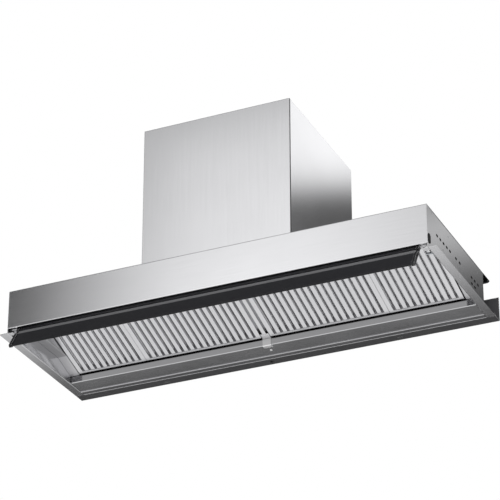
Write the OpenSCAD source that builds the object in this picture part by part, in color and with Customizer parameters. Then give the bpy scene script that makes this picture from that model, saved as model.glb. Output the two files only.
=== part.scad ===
// Wall mounted range hood: a box canopy of bent sheet with a swing-out visor, four sloping
// baffle filters that hang on a rod, a square chimney, and the blower and duct collar in it.
// X runs along the hood. Y = 0 is the wall, and the room is on the -Y side.
// Z = 0 is the row of wall fixings. The modules measure height from the underside of the
// canopy's flange, and in_place() sets that underside at its height.

/* [Canopy] */
// Width over the side walls
hood_w = 1200; // [1100:10:1400]
// Depth from the fascia to the rear wall
box_d = 420; // [400:5:460]
// Height from the flange's underside to the top
box_h = 125; // [120:1:140]
// Gap between the rear wall and the house wall
wall_gap = 54; // [45:1:70]
// Sheet thickness of the canopy and the chimney
sheet_t = 1.2; // [0.8:0.1:1.6]
// Height of the fascia's lower edge above the flange
fascia_lift = 13.5; // [10:0.5:18]
// Width of the outward flange on each side
side_flange_w = 24; // [18:1:34]
// Depth of the outward flange at the rear
rear_flange_d = 18; // [12:1:24]
// Depth of the flat ledge in front of the rear wall
ledge_d = 62; // [54:1:70]
// Height of the ledge's front face
ledge_h = 22; // [18:1:26]
// Width of the closed channel along each side wall
channel_w = 27.5; // [22:0.5:36]
// Height of the channels above the flange
channel_z = 47; // [42:1:52]

/* [Filters] */
// Distance of the filter rod behind the fascia
rod_setback = 84.5; // [80:0.5:95]
// Depth of the filter rod below the top of the canopy
rod_drop = 11; // [10:0.5:14]
// Diameter of the filter rod
rod_d = 6; // [5:0.5:7]
// Thickness of a filter
filter_t = 12; // [11:0.5:14]
// Sheet thickness of the filters
filter_sheet_t = 0.8; // [0.6:0.1:1]
// Distance from one slot to the next
baffle_pitch = 19.5; // [18:0.5:22]
// Width of a slot
slot_w = 8.2; // [6:0.1:9]
// Border of a filter at its front and rear ends
filter_border = 6; // [5:0.5:9]
// Width of the rail between the two halves of the filter bank
centre_rail_w = 11; // [9:1:15]
// Width of the tab that the rail ends in
centre_tab_w = 25; // [22:1:34]

/* [Visor] */
// Length of the visor below its pivot
visor_l = 85; // [78:1:95]
// Lean of the open visor from the vertical
visor_lean = 32; // [26:1:38]
// Distance of the visor's pivot behind the fascia
visor_setback = 15; // [14:0.5:18]
// Height of the visor's pivot above the flange
visor_z = 15; // [14:0.5:17]
// Diameter of the visor's pivot pins
visor_pin_d = 8; // [7:0.5:9]
// Gap between the visor's end and the side wall
visor_end_gap = 24.6; // [22:0.2:28]
// Thickness of the visor's blade
visor_t = 5.5; // [4.5:0.5:6.5]

/* [Wall fixings] */
// Height of the upright plate on the wall
upstand_h = 70; // [64:1:90]
// Height of the row of wall fixings above the flange
fixing_h = 45; // [40:1:52]
// Distance from one wall fixing to the next
fixing_pitch = 340; // [300:10:350]
// Number of wall fixings
fixing_count = 4; // [2:1:4]
// Diameter of the wall fixing holes
fixing_d = 8; // [6:0.5:10]
// Sheet thickness of the wall parts
wall_sheet_t = 1.5; // [1.2:0.1:2]

/* [Chimney and blower] */
// Width of the chimney
chimney_w = 430; // [410:5:480]
// Height of the chimney above the canopy
chimney_h = 420; // [400:5:600]
// Distance of the chimney's front behind the fascia
chimney_setback = 26.5; // [22:0.5:32]
// Outer diameter of the duct collar
duct_d = 125; // [118:1:132]
// Length of the duct collar
duct_l = 55; // [50:1:70]
// Diameter of the fan wheel
impeller_d = 170; // [160:1:178]
// Width of the fan wheel
impeller_w = 144; // [136:1:156]
// Number of blades on the fan wheel
blade_count = 32; // [24:1:40]
// Diameter of the motor
motor_d = 84; // [76:1:92]
// Diameter of the motor's shaft
shaft_d = 8; // [7:0.5:10]

/* [Hidden] */

// Roundness of bores, pins and corners
$fn = 48;

// Clearances: pieces that are fastened, pieces that move, pins that turn, overrun of cuts
fit_gap = 0.2;
move_gap = 1;
pin_gap = 0.05;
over = 1;

// Finishes
steel = [0.72, 0.72, 0.73];
filter_steel = [0.80, 0.80, 0.81];
black = [0.09, 0.09, 0.10];
galvanised = [0.62, 0.64, 0.66];
trim_grey = [0.34, 0.34, 0.35];
plastic = [0.20, 0.20, 0.21];
lamp_white = [0.95, 0.95, 0.90];

// Bends of the sheet parts: inner radius, and the number of steps that draw one
bend_r = 1.2;
bend_steps = 3;

// Canopy places
front_y = -(wall_gap + box_d);
rear_y = -wall_gap;
wall_x = hood_w / 2 - sheet_t;
inner_x = wall_x - fit_gap;
top_z = box_h - sheet_t;
flange_rear_y = rear_y + rear_flange_d;
return_w = 14;
toe_w = 15;
toe_d = 17;
hem_h = 10;
hem_d = 6;

// Slots in the side walls: first place behind the fascia, number, pitch and height of a row
wall_slot_l = 13;
wall_slot_w = 7;
wall_slot_z = 67;
wall_slot_low_z = 49;
front_row_at = 72;
front_row_pitch = 23.5;
front_row_count = 5;
mid_row_at = 210;
mid_row_pitch = 28;
mid_row_count = 2;
rear_row_at = 328;
rear_row_pitch = 24;
rear_row_count = 3;
adjust_slot_w = 9;
adjust_slot_l = 22;
adjust_slot_at = 14;
adjust_slot_z = 31;
rivet_d = 5;
rivet_proud = 0.5;
rivet_shank_d = 3;
// Rivets of a side wall, as shares of the box's depth and height
rivet_shares = [[0.09, 0.94], [0.37, 0.83], [0.27, 0.37], [0.90, 0.83]];

// Ledge and channels
ledge_y = rear_y - ledge_d;
ledge_z = 2;
ledge_lip = 9;
ledge_side_gap = 1.3;
face_lift = 1.4;
channel_x = wall_x - channel_w;
channel_front_at = 32;

// Filters: the face's rear edge, the rod, and the slope and length that follow from them
filter_rear_gap = 5.5;
filter_rear_y = ledge_y - filter_rear_gap;
filter_rear_z = ledge_h + face_lift;
rod_y = front_y + rod_setback;
rod_z = box_h - rod_drop;
rod_reach = 9;
rod_run = norm([filter_rear_y - rod_y, rod_z - filter_rear_z]);
filter_l = sqrt(pow(rod_run, 2) - pow(filter_t / 2, 2)) - rod_reach;
filter_slope = atan2(rod_z - filter_rear_z, filter_rear_y - rod_y) - asin(filter_t / 2 / rod_run);
filter_side_gap = 2.5;
filter_edge_x = channel_x - filter_side_gap;
filter_start_x = centre_tab_w / 2 + move_gap;
end_border = 11;
bank_w = filter_edge_x - filter_start_x;
inner_share = 0.624;
seam_x = filter_start_x + inner_share * bank_w;
seam_gap = 0.8;
baffle_leg = 4.2;
baffle_lap = 3.2;
filter_return = 8;
hook_t = 2;
hook_wall = 3;
hook_r = rod_d / 2 + hook_wall;
hook_share = 0.16;
channel_turn_y = ledge_y - (channel_z - ledge_h) / tan(filter_slope);

// Lamp panel between the fascia and the rod
lamp_panel_front = 26;
lamp_panel_gap = 9.5;
lamp_panel_y = rod_y - lamp_panel_gap;
lamp_panel_drop = 29;
lamp_panel_z = box_h - lamp_panel_drop;
lamp_panel_h = 20;
lamp_w = 22;
lamp_l_share = 0.72;
lamp_lens_t = 3;
lamp_lens_lip = 3;
lamp_board_t = 1.6;
lamp_board_gap = 6;
rod_lug_t = 4;
rod_lug_wall = 3.5;
rod_lug_r = rod_d / 2 + rod_lug_wall;

// Centre rail
rail_t = 1.5;
rail_tab_h = 8;
rail_end_gap = 12;
rail_brim_lap = 4;
rail_foot_d = 13;
rail_edge_h = 8;

// Filter magnets behind the ledge's lip
magnet_w = 30;
magnet_d = 6;
magnet_h = 11;

// Wall strip and wall rail
strip_lap = 12;
joggle = 2.2;
strip_slot_l = 12;
strip_slot_w = 4.4;
strip_slot_share = 0.29;
rail_drop = 35;
rail_wall_h = 3;
rail_nose_y = -13.5;
rail_nose_drop = 13;
rail_corner = 4.5;
rail_nose_wall = 2.5;

// Visor: profile along the blade and across it, then the ends
visor_y = front_y + visor_setback;
barrel_wall = 1.7;
barrel_r = visor_pin_d / 2 + barrel_wall;
visor_x = wall_x - visor_end_gap;
visor_wall = 1.2;
cap_t = 8;
cap_proud = 2;
strip_end = 16.5;
strip_proud = 1;
groove_end = 32;
trim_high_t = 2.6;
trim_low_t = 1;
trim_gap = 0.3;
groove_depth = 3.5;
face_proud = 0.4;
visor_back = visor_t / 2;
visor_strip = -visor_t / 2 - strip_proud;
visor_groove = groove_depth - visor_t / 2;
visor_face = -visor_t / 2 - face_proud;
lip_r = (visor_back - visor_face) / 2;
visor_ribs = 2;
pin_step = 1;
pin_flange_w = 2;
pin_flange_t = 1.5;
bracket_t = 3;
bracket_front = 5;
bracket_rear = 14;
bracket_low = 2;
bracket_h = 41;
boss_wall = 3;
boss_t = 1.5;
stop_share = 0.7;
stop_l = 38;
stop_at = visor_setback + stop_share * visor_l - stop_l / 2;
stop_t = 1.5;
stop_w = 13.5;
stop_drop = 15;
peg_d = 6;
peg_lap = 6;

// Screws
screw_head_d = 8;
screw_head_t = 2;
strip_screw_share = -0.024;

// Chimney
chimney_y = front_y + chimney_setback;
chimney_x = chimney_w / 2;
chimney_seam = 2.5;
chimney_seal_inset = 0.4;
chimney_wall_gap = 15;
chimney_return = 16;
chimney_bracket_h = 26;
chimney_ear = 14;
chimney_bracket_drop = 20;
chimney_bracket_t = 2;
bracket_hole_d = 7;
bracket_hole_share = 0.7;
chimney_screw_d = 4;

// Blower: spiral housing with its outlet at the wall side, in a box on the top plate
impeller_gap = 7;
scroll_t = 1.5;
tongue_angle = 75;
spiral_turn = 360 - tongue_angle;
spiral_steps = 30;
duct_wall = 1.2;
scroll_r0 = impeller_d / 2 + impeller_gap;
tongue_p = scroll_r0 * cos(tongue_angle);
throat = duct_d + 2 * duct_wall;
scroll_r1 = tongue_p + throat;
function spiral_r(a) = scroll_r0 + (scroll_r1 - scroll_r0) * (a - tongue_angle) / spiral_turn;
box_margin = 14;
throat_rise = 42;
scroll_side_gap = 6;
scroll_x = impeller_w / 2 + scroll_side_gap;
inlet_lap = 14;
inlet_r = impeller_d / 2 - inlet_lap;
blower_side_gap = 36;
blower_x = chimney_x - blower_side_gap;
blower_rear_gap = 15;
blower_rear_y = rear_y - blower_rear_gap;
axis_y = blower_rear_y - sheet_t - box_margin - scroll_r1;
blower_front_y = axis_y - spiral_r(180) - box_margin - sheet_t;
axis_z = box_h + spiral_r(270) + box_margin;
blower_top_z = axis_z + scroll_r0 + throat_rise;
box_flange = 12;
collar_y = axis_y + tongue_p + throat / 2;
collar_flange = 10;
collar_flange_t = 2;
flap_z = blower_top_z + duct_l / 2;
flap_t = 1;
flap_gap = 1.2;
flap_axle_d = 4;
flap_stop_w = 4;
flap_stop_t = 2;
flap_stop_gap = 0.4;
knuckle_wall = 1.6;
knuckle_r = flap_axle_d / 2 + knuckle_wall;
knuckle_share = 0.16;
knuckle_gap = 0.6;
blade_t = 1;
blade_chord = 17;
blade_hook = 0.55;
disc_t = 2;
ring_t = 2.5;
ring_w = 5;
hub_wall = 8;
hub_r = shaft_d / 2 + hub_wall;
hub_l = 22;
motor_l = 56;
motor_step = 8;
motor_cap_r = motor_d / 2 - motor_step;
motor_cap_t = 6;
mount_t = 2;
mount_ring = 10;
mount_arm_w = 14;
mount_arms = 3;
control_w = 180;
control_d = 48;
control_h = 42;
control_gap = 6;
control_wall = 2;
control_y = chimney_y + chimney_return + control_gap + control_d / 2;
gland_d = 20;
gland_l = 14;
gland_nut_d = 26;
gland_nut_l = 6;
gland_bore_d = 9;
gland_share = 0.3;
gland_x = gland_share * control_w;

// Bent sheet: a path of bend lines, thickened to its left with mitred bends
function heading(a, b) = (b - a) / norm(b - a);
function left_of(d) = [-d[1], d[0]];
function mitred(path, i, t) =
    let (last = len(path) - 1,
         before = left_of(heading(path[max(i, 1) - 1], path[max(i, 1)])),
         after = left_of(heading(path[min(i, last - 1)], path[min(i, last - 1) + 1])))
    path[i] + t * (before + after) / (1 + before * after);
function sheet_outline(path, t, r = 0) =
    r > 0 ? concat(bent_line(path, t, r, 0), reversed(bent_line(path, t, r, 1)))
          : concat(path, [for (i = [len(path) - 1 : -1 : 0]) mitred(path, i, t)]);
function reversed(list) = [for (i = [len(list) - 1 : -1 : 0]) list[i]];

// One face of a bent sheet with the inner radius r at each bend: the path's own face for
// side 0, and the face at the thickness t for side 1
function bent_line(path, t, r, side) =
    [for (i = [0 : len(path) - 1])
        each i == 0 ? [path[0] + side * t * left_of(heading(path[0], path[1]))]
           : i == len(path) - 1 ? [path[i] + side * t * left_of(heading(path[i - 1], path[i]))]
           : bend_arc(path[i], heading(path[i - 1], path[i]), heading(path[i], path[i + 1]), t, r,
                      side)];
function bend_arc(corner, before, after, t, r, side) =
    let (turn = atan2(before[0] * after[1] - before[1] * after[0], before * after),
         s = sign(turn),
         path_r = r + max(0, s * t),
         face_r = path_r - side * s * t,
         n = left_of(before),
         centre = corner - before * path_r * tan(abs(turn) / 2) + n * s * path_r)
    [for (k = [0 : bend_steps])
        let (w = turn * k / bend_steps)
        centre - s * face_r * [n[0] * cos(w) - n[1] * sin(w), n[0] * sin(w) + n[1] * cos(w)]];

module in_place() translate([0, 0, -fixing_h]) children();

// A profile in Y and Z, drawn out along X from x0 to x1
module along_x(x0, x1) translate([x0, 0, 0]) rotate([90, 0, 90]) linear_extrude(x1 - x0) children();

// A profile in X and Y, drawn out upwards from z0 to z1
module along_z(z0, z1) translate([0, 0, z0]) linear_extrude(z1 - z0) children();

// A plate or bar between two corners
module bar(low, high) translate(low) cube(high - low);

module x_cylinder(r, x0, x1) translate([x0, 0, 0]) rotate([0, 90, 0]) cylinder(r = r, h = x1 - x0);

// A profile in X and Z, drawn out along Y from y0 to y1
module along_y(y0, y1) translate([0, y1, 0]) rotate([90, 0, 0]) linear_extrude(y1 - y0) children();

module y_cylinder(r, y0, y1) translate([0, y1, 0]) rotate([90, 0, 0]) cylinder(r = r, h = y1 - y0);

// A slot in Y and Z with round ends, cut through a side wall
module wall_slot(at, z, length, width) {
    x0 = wall_x - over;
    x1 = hood_w / 2 + over;
    straight = length - width;
    translate([0, front_y + at, z]) {
        bar([x0, -straight / 2, -width / 2], [x1, straight / 2, width / 2]);
        for (end = [-1, 1]) translate([0, end * straight / 2, 0]) x_cylinder(width / 2, x0, x1);
    }
}

module slot_row(at, pitch, count, z)
    for (i = [0 : count - 1]) wall_slot(at + i * pitch, z, wall_slot_l, wall_slot_w);

// Canopy

module fascia() {
    hem_top = fascia_lift + hem_h;
    color(steel) in_place() {
        difference() {
            along_x(-hood_w / 2, hood_w / 2)
                translate([front_y, 0]) polygon(sheet_outline([[return_w, box_h], [0, box_h],
                    [0, fascia_lift], [hem_d, fascia_lift], [hem_d, hem_top]], sheet_t, bend_r));
            for (side = [0, 1]) mirror([side, 0, 0])
                bar([inner_x, front_y + sheet_t, 0], [hood_w / 2 + over, front_y + return_w, hem_top]);
        }
        for (side = [-1, 1])
            bar([side * (inner_x - sheet_t / 2) - sheet_t / 2, front_y + sheet_t,
                 bracket_low + bracket_h + move_gap],
                [side * (inner_x - sheet_t / 2) + sheet_t / 2, front_y + return_w,
                 box_h - sheet_t]);
    }
}

module right_wall_sheet() {
    start_y = front_y + sheet_t + fit_gap;
    top = box_h - sheet_t - fit_gap;
    edge_x = hood_w / 2 + side_flange_w;
    difference() {
        union() {
            along_y(front_y, start_y)
                polygon(sheet_outline([[edge_x, 0], [wall_x, 0], [wall_x, fascia_lift - fit_gap]],
                                      -sheet_t, bend_r));
            along_y(start_y, rear_y)
                polygon(sheet_outline([[edge_x, 0], [wall_x, 0], [wall_x, top]], -sheet_t, bend_r));
            bar([hood_w / 2, rear_y, 0], [edge_x, flange_rear_y, sheet_t]);
            along_y(front_y + return_w + fit_gap, rear_y - return_w)
                polygon(sheet_outline([[wall_x, top - return_w], [wall_x, top - sheet_t],
                    [wall_x - return_w, top - sheet_t]], -sheet_t, bend_r));
            bar([wall_x - toe_w, start_y, 0], [wall_x + sheet_t, front_y + toe_d, sheet_t]);
        }
        corner_cut();
        slot_row(front_row_at, front_row_pitch, front_row_count, wall_slot_z);
        slot_row(mid_row_at, mid_row_pitch, mid_row_count, wall_slot_z);
        slot_row(rear_row_at, rear_row_pitch, rear_row_count, wall_slot_z);
        slot_row(rear_row_at, rear_row_pitch, rear_row_count - 1, wall_slot_low_z);
        bar([wall_x - over, front_y + adjust_slot_at - adjust_slot_w / 2,
             adjust_slot_z - adjust_slot_l / 2],
            [hood_w / 2 + over, front_y + adjust_slot_at + adjust_slot_w / 2,
             adjust_slot_z + adjust_slot_l / 2]);
        bar([hood_w / 2 - sheet_t - over, rear_y, -over],
            [hood_w / 2 + fit_gap, flange_rear_y + over, box_h]);
        for (share = rivet_shares)
            translate([0, front_y + share[0] * box_d, share[1] * box_h])
                x_cylinder(rivet_shank_d / 2, wall_x - over, hood_w / 2 + over);
    }
}

// Rounds off the upper corner of a side wall between its front and rear ends
module corner_cut() {
    top = box_h - sheet_t - fit_gap;
    along_y(front_y + return_w + fit_gap, rear_y - return_w) difference() {
        translate([hood_w / 2 - sheet_t - bend_r, top - sheet_t - bend_r])
            square(sheet_t + bend_r + over);
        translate([hood_w / 2 - sheet_t - bend_r, top - sheet_t - bend_r])
            circle(r = sheet_t + bend_r);
    }
}

module right_side_wall() {
    color(steel) in_place() right_wall_sheet();
}

module left_side_wall() {
    color(steel) in_place() mirror([1, 0, 0]) right_wall_sheet();
}

module rear_wall() {
    color(steel) in_place()
        along_x(-inner_x, inner_x)
            polygon(sheet_outline([[flange_rear_y, 0], [rear_y - sheet_t, 0],
                [rear_y - sheet_t, top_z - fit_gap - sheet_t],
                [rear_y - return_w, top_z - fit_gap - sheet_t]], -sheet_t, bend_r));
}

module top_plate() {
    start_y = front_y + return_w + fit_gap;
    color(steel) in_place() difference() {
        bar([-hood_w / 2, start_y, top_z], [hood_w / 2, rear_y, box_h]);
        bar([-blower_x + box_flange, blower_front_y + box_flange, top_z - over],
            [blower_x - box_flange, blower_rear_y - box_flange, box_h + over]);
    }
}

module rear_ledge() {
    half = wall_x - ledge_side_gap;
    color(steel) in_place()
        along_x(-half, half)
            polygon(sheet_outline([[rear_y - sheet_t - fit_gap, ledge_z + ledge_lip],
                [rear_y - sheet_t - fit_gap, ledge_z], [ledge_y, ledge_z], [ledge_y, ledge_h],
                [ledge_y + ledge_lip, ledge_h]], -sheet_t, bend_r));
}

// Channel between the filters and a side wall: an upright web, a folded floor, a front end
module right_channel_sheet() {
    start_y = front_y + channel_front_at;
    end_y = ledge_y - fit_gap;
    end_z = channel_z - (end_y - channel_turn_y) * tan(filter_slope);
    roof = top_z - 2 * (sheet_t + fit_gap);
    along_y(start_y, channel_turn_y + over) channel_section(channel_z, roof);
    intersection() {
        translate([0, channel_turn_y, channel_z]) rotate([-filter_slope, 0, 0])
            along_y(-roof, end_y - start_y) channel_section(0, roof);
        along_x(channel_x, inner_x)
            polygon([[channel_turn_y, channel_z - over], [end_y, end_z - over], [end_y, roof],
                     [channel_turn_y, roof]]);
    }
    bar([channel_x, start_y, channel_z], [inner_x, start_y + sheet_t, roof]);
}

// Section of the channel in X and Z: the floor at the height low, and the web up to high
module channel_section(low, high)
    polygon(sheet_outline([[inner_x, low], [channel_x, low], [channel_x, high]], -sheet_t, bend_r));

module right_side_channel() {
    color(steel) in_place() right_channel_sheet();
}

module left_side_channel() {
    color(steel) in_place() mirror([1, 0, 0]) right_channel_sheet();
}

// Lamp panel with its lamp, and the lugs that carry the filter rod

lamp_y = (front_y + lamp_panel_front + lamp_panel_y) / 2;
lamp_l = lamp_l_share * hood_w;

module lamp_panel() {
    half = channel_x - fit_gap;
    lug_places = concat([for (side = [-1, 1]) side * (half - rod_lug_t)],
                        [for (side = [-1, 1]) side * seam_x]);
    color(steel) in_place() {
        difference() {
            along_x(-half, half)
                polygon(sheet_outline([[front_y + lamp_panel_front, top_z - fit_gap],
                    [front_y + lamp_panel_front, lamp_panel_z], [lamp_panel_y, lamp_panel_z],
                    [lamp_panel_y, lamp_panel_z + lamp_panel_h]], sheet_t, bend_r));
            bar([-lamp_l / 2, lamp_y - lamp_w / 2, lamp_panel_z - over],
                [lamp_l / 2, lamp_y + lamp_w / 2, lamp_panel_z + sheet_t + over]);
        }
        for (x = lug_places) difference() {
            union() {
                bar([x - rod_lug_t / 2, lamp_panel_y - sheet_t, rod_z - rod_lug_r],
                    [x + rod_lug_t / 2, rod_y, min(rod_z + rod_lug_r, top_z - fit_gap)]);
                translate([0, rod_y, rod_z]) x_cylinder(rod_lug_r, x - rod_lug_t / 2, x + rod_lug_t / 2);
            }
            translate([0, rod_y, rod_z])
                x_cylinder(rod_d / 2 + pin_gap, x - rod_lug_t, x + rod_lug_t);
        }
    }
}

module lamp_lens() {
    color(lamp_white) in_place() {
        bar([-lamp_l / 2 + fit_gap, lamp_y - lamp_w / 2 + fit_gap, lamp_panel_z],
            [lamp_l / 2 - fit_gap, lamp_y + lamp_w / 2 - fit_gap, lamp_panel_z + lamp_lens_t]);
        bar([-lamp_l / 2 - lamp_lens_lip, lamp_y - lamp_w / 2 - lamp_lens_lip,
             lamp_panel_z + sheet_t],
            [lamp_l / 2 + lamp_lens_lip, lamp_y + lamp_w / 2 + lamp_lens_lip,
             lamp_panel_z + lamp_lens_t]);
    }
}

// Aluminium strip with its row of light-emitting diodes, over the lens
module lamp_board() {
    diode_w = 5;
    diode_t = 1.2;
    diode_pitch = 36;
    board_z = lamp_panel_z + lamp_lens_t + lamp_board_gap;
    leg_x = lamp_l / 2 - lamp_board_gap;
    count = floor((lamp_l - 4 * lamp_board_gap) / diode_pitch);
    color(lamp_white) in_place() {
        bar([-lamp_l / 2, lamp_y - lamp_w / 3, board_z],
            [lamp_l / 2, lamp_y + lamp_w / 3, board_z + lamp_board_t]);
        for (side = [-1, 1])
            bar([side * leg_x - lamp_board_t, lamp_y - lamp_w / 3, lamp_panel_z + lamp_lens_t],
                [side * leg_x + lamp_board_t, lamp_y + lamp_w / 3, board_z]);
        for (i = [0 : count - 1])
            translate([(i - (count - 1) / 2) * diode_pitch, lamp_y, board_z - diode_t])
                bar([-diode_w / 2, -diode_w / 2, 0], [diode_w / 2, diode_w / 2, diode_t]);
    }
}

module filter_rod() {
    half = channel_x - fit_gap;
    color(steel) in_place() translate([0, rod_y, rod_z]) x_cylinder(rod_d / 2, -half, half);
}

// Rail between the filter halves: a strip in the plane of their faces that turns up at the
// lamp panel, and a hat section behind it whose brims lie over the filters' edges
module centre_rail() {
    half = centre_rail_w / 2;
    brim = filter_start_x + rail_brim_lap;
    depth = filter_t + move_gap;
    front = lamp_panel_y + fit_gap + rail_t;
    end_y = filter_rear_y - rail_end_gap * cos(filter_slope);
    color(filter_steel) {
        in_place() along_x(-half, half)
            polygon(sheet_outline([[end_y, rail_back_z(end_y)], [front, rail_back_z(front)],
                                   [front, rail_back_z(front) + rail_tab_h]], rail_t, bend_r));
        set_filter() along_y(-filter_l + rail_edge_h, -rail_end_gap)
            polygon(sheet_outline([[-brim, depth], [-half, depth], [-half, 0], [half, 0],
                                   [half, depth], [brim, depth]], rail_t, bend_r));
    }
}

// Height of the rail strip's back at a place along Y
function rail_back_z(y) =
    filter_rear_z + rail_t / cos(filter_slope) + (filter_rear_y - y) * tan(filter_slope);

// Clip round the front of the ledge, in line with the rail
module centre_tab() {
    half = centre_tab_w / 2;
    tab_y = ledge_y - fit_gap;
    foot_z = ledge_z - fit_gap;
    color(filter_steel) in_place()
        along_x(-half, half)
            polygon(sheet_outline([[tab_y + rail_foot_d, foot_z], [tab_y, foot_z],
                [tab_y, filter_rear_z], [tab_y + rail_foot_d, filter_rear_z]], rail_t, bend_r));
}

module filter_magnets() {
    middles = [(filter_start_x + seam_x) / 2, (seam_x + filter_edge_x) / 2];
    places = [for (side = [-1, 1]) for (x = middles) side * x];
    color(black) in_place()
        for (x = places) translate([x, ledge_y, ledge_h])
            bar([-magnet_w / 2, 0, 0], [magnet_w / 2, magnet_d, magnet_h]);
}

// Filters. They are drawn lying flat, face down, with the rear edge at Y = 0 and the
// front edge at Y = -filter_l, and set_filter() tips them up to their slope.

module set_filter()
    in_place() translate([0, filter_rear_y, filter_rear_z]) rotate([-filter_slope, 0, 0]) children();

// Number of slots of a filter from x0 to x1, and the middle of slot i
function slot_count(x0, x1) =
    floor((x1 - x0 - 2 * end_border - slot_w) / baffle_pitch) + 1;
function slot_x(x0, x1, i) =
    (x0 + x1) / 2 + (i - (slot_count(x0, x1) - 1) / 2) * baffle_pitch;

// Shell of a filter from x0 to x1: face ring, four walls, back ring
module filter_frame(x0, x1) {
    t = filter_sheet_t;
    open_x0 = slot_x(x0, x1, 0) - slot_w / 2;
    open_x1 = slot_x(x0, x1, slot_count(x0, x1) - 1) + slot_w / 2;
    color(filter_steel) set_filter() {
        difference() {
            bar([x0, -filter_l, 0], [x1, 0, filter_t]);
            bar([x0 + t, -filter_l + t, t], [x1 - t, -t, filter_t - t]);
            bar([open_x0, -filter_l + filter_border, -over], [open_x1, -filter_border, filter_t / 2]);
            bar([x0 + filter_return, -filter_l + filter_return, filter_t / 2],
                [x1 - filter_return, -filter_return, filter_t + over]);
        }
        for (share = [hook_share, 1 - hook_share])
            translate([x0 + share * (x1 - x0), 0, 0]) filter_hook();
    }
}

// Hook that hangs over the rod, open downwards
module filter_hook() {
    reach = filter_l + rod_reach;
    difference() {
        union() {
            bar([-hook_t / 2, -reach, filter_t / 2 - filter_sheet_t],
                [hook_t / 2, -filter_l, filter_t / 2 + hook_r]);
            translate([0, -reach, filter_t / 2]) x_cylinder(hook_r, -hook_t / 2, hook_t / 2);
        }
        translate([0, -reach, filter_t / 2]) {
            x_cylinder(rod_d / 2 + pin_gap, -hook_t, hook_t);
            bar([-hook_t, -rod_d / 2 - pin_gap, -hook_r - over], [hook_t, rod_d / 2 + pin_gap, 0]);
        }
    }
}

// One baffle across a filter: its section lies in X and Z, and it runs between the end walls
module baffle() {
    end = filter_sheet_t + fit_gap;
    along_y(end - filter_l, -end) children();
}

// Channel-shaped baffles behind the face, one between each two slots
module front_baffles(x0, x1) {
    t = filter_sheet_t;
    half = (baffle_pitch - slot_w) / 2;
    color(filter_steel) set_filter()
        for (i = [0 : slot_count(x0, x1) - 2])
            translate([slot_x(x0, x1, i) + baffle_pitch / 2, 0, t])
                baffle() polygon(sheet_outline([[-half, baffle_leg], [-half, 0], [half, 0],
                                                [half, baffle_leg]], t));
}

// Inverted baffles under the back ring, one over each slot, that turn the air twice
module rear_baffles(x0, x1) {
    t = filter_sheet_t;
    half = slot_w / 2 + baffle_lap;
    color(filter_steel) set_filter()
        for (i = [0 : slot_count(x0, x1) - 1])
            translate([slot_x(x0, x1, i), 0, filter_t - t])
                baffle() polygon(sheet_outline([[half, -baffle_leg], [half, 0], [-half, 0],
                                                [-half, -baffle_leg]], t));
}

inner_x0 = filter_start_x;
inner_x1 = seam_x - seam_gap / 2;
outer_x0 = seam_x + seam_gap / 2;
outer_x1 = filter_edge_x;

module right_inner_filter_frame() filter_frame(inner_x0, inner_x1);
module right_inner_filter_front_baffles() front_baffles(inner_x0, inner_x1);
module right_inner_filter_rear_baffles() rear_baffles(inner_x0, inner_x1);
module right_outer_filter_frame() filter_frame(outer_x0, outer_x1);
module right_outer_filter_front_baffles() front_baffles(outer_x0, outer_x1);
module right_outer_filter_rear_baffles() rear_baffles(outer_x0, outer_x1);
module left_inner_filter_frame() mirror([1, 0, 0]) right_inner_filter_frame();
module left_inner_filter_front_baffles() mirror([1, 0, 0]) right_inner_filter_front_baffles();
module left_inner_filter_rear_baffles() mirror([1, 0, 0]) right_inner_filter_rear_baffles();
module left_outer_filter_frame() mirror([1, 0, 0]) right_outer_filter_frame();
module left_outer_filter_front_baffles() mirror([1, 0, 0]) right_outer_filter_front_baffles();
module left_outer_filter_rear_baffles() mirror([1, 0, 0]) right_outer_filter_rear_baffles();

// Wall parts

// Angle along the wall: upright with the fixing holes, floor strip, and a lap on the flange
module wall_strip() {
    half = hood_w / 2 + side_flange_w;
    t = wall_sheet_t;
    lap_z = sheet_t + fit_gap;
    front = flange_rear_y + fit_gap;
    slot_x = strip_slot_share * hood_w;
    slot_y = (front - t) / 2;
    straight = strip_slot_l - strip_slot_w;
    color(black) in_place() difference() {
        union() {
            along_x(-half, half)
                polygon(sheet_outline([[0, upstand_h], [0, 0], [front + joggle, 0], [front, lap_z],
                                       [front - strip_lap, lap_z]], -t, bend_r));
        }
        for (i = [0 : fixing_count - 1])
            translate([(i - (fixing_count - 1) / 2) * fixing_pitch, 0, fixing_h])
                y_cylinder(fixing_d / 2, -t - over, over);
        for (side = [-1, 1]) translate([side * slot_x, slot_y, 0]) {
            bar([-straight / 2, -strip_slot_w / 2, -over], [straight / 2, strip_slot_w / 2, t + over]);
            for (end = [-1, 1]) translate([end * straight / 2, 0, -over])
                cylinder(d = strip_slot_w, h = t + 2 * over);
        }
    }
}

// Hanger rail between the rear wall and the house wall, a closed bent section
module wall_rail() {
    half = hood_w / 2;
    t = wall_sheet_t;
    near = rear_y + fit_gap;
    color(black) in_place()
        along_x(-half, half) difference() {
            polygon([[near, box_h - rail_drop], [rail_nose_y, box_h - rail_nose_drop],
                     [0, box_h - rail_wall_h], [0, box_h], [near, box_h]]);
            polygon([[near + t, box_h - rail_drop + rail_corner], [near + t, box_h - t],
                     [rail_nose_y, box_h - t],
                     [rail_nose_y - t, box_h - rail_nose_drop + rail_nose_wall]]);
        }
}

// Visor. It is drawn hanging straight down from its pivot, with its face to the room, and
// set_visor() swings it out to its open lean.

module set_visor()
    in_place() translate([0, visor_y, visor_z]) rotate([-visor_lean, 0, 0]) children();

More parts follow.
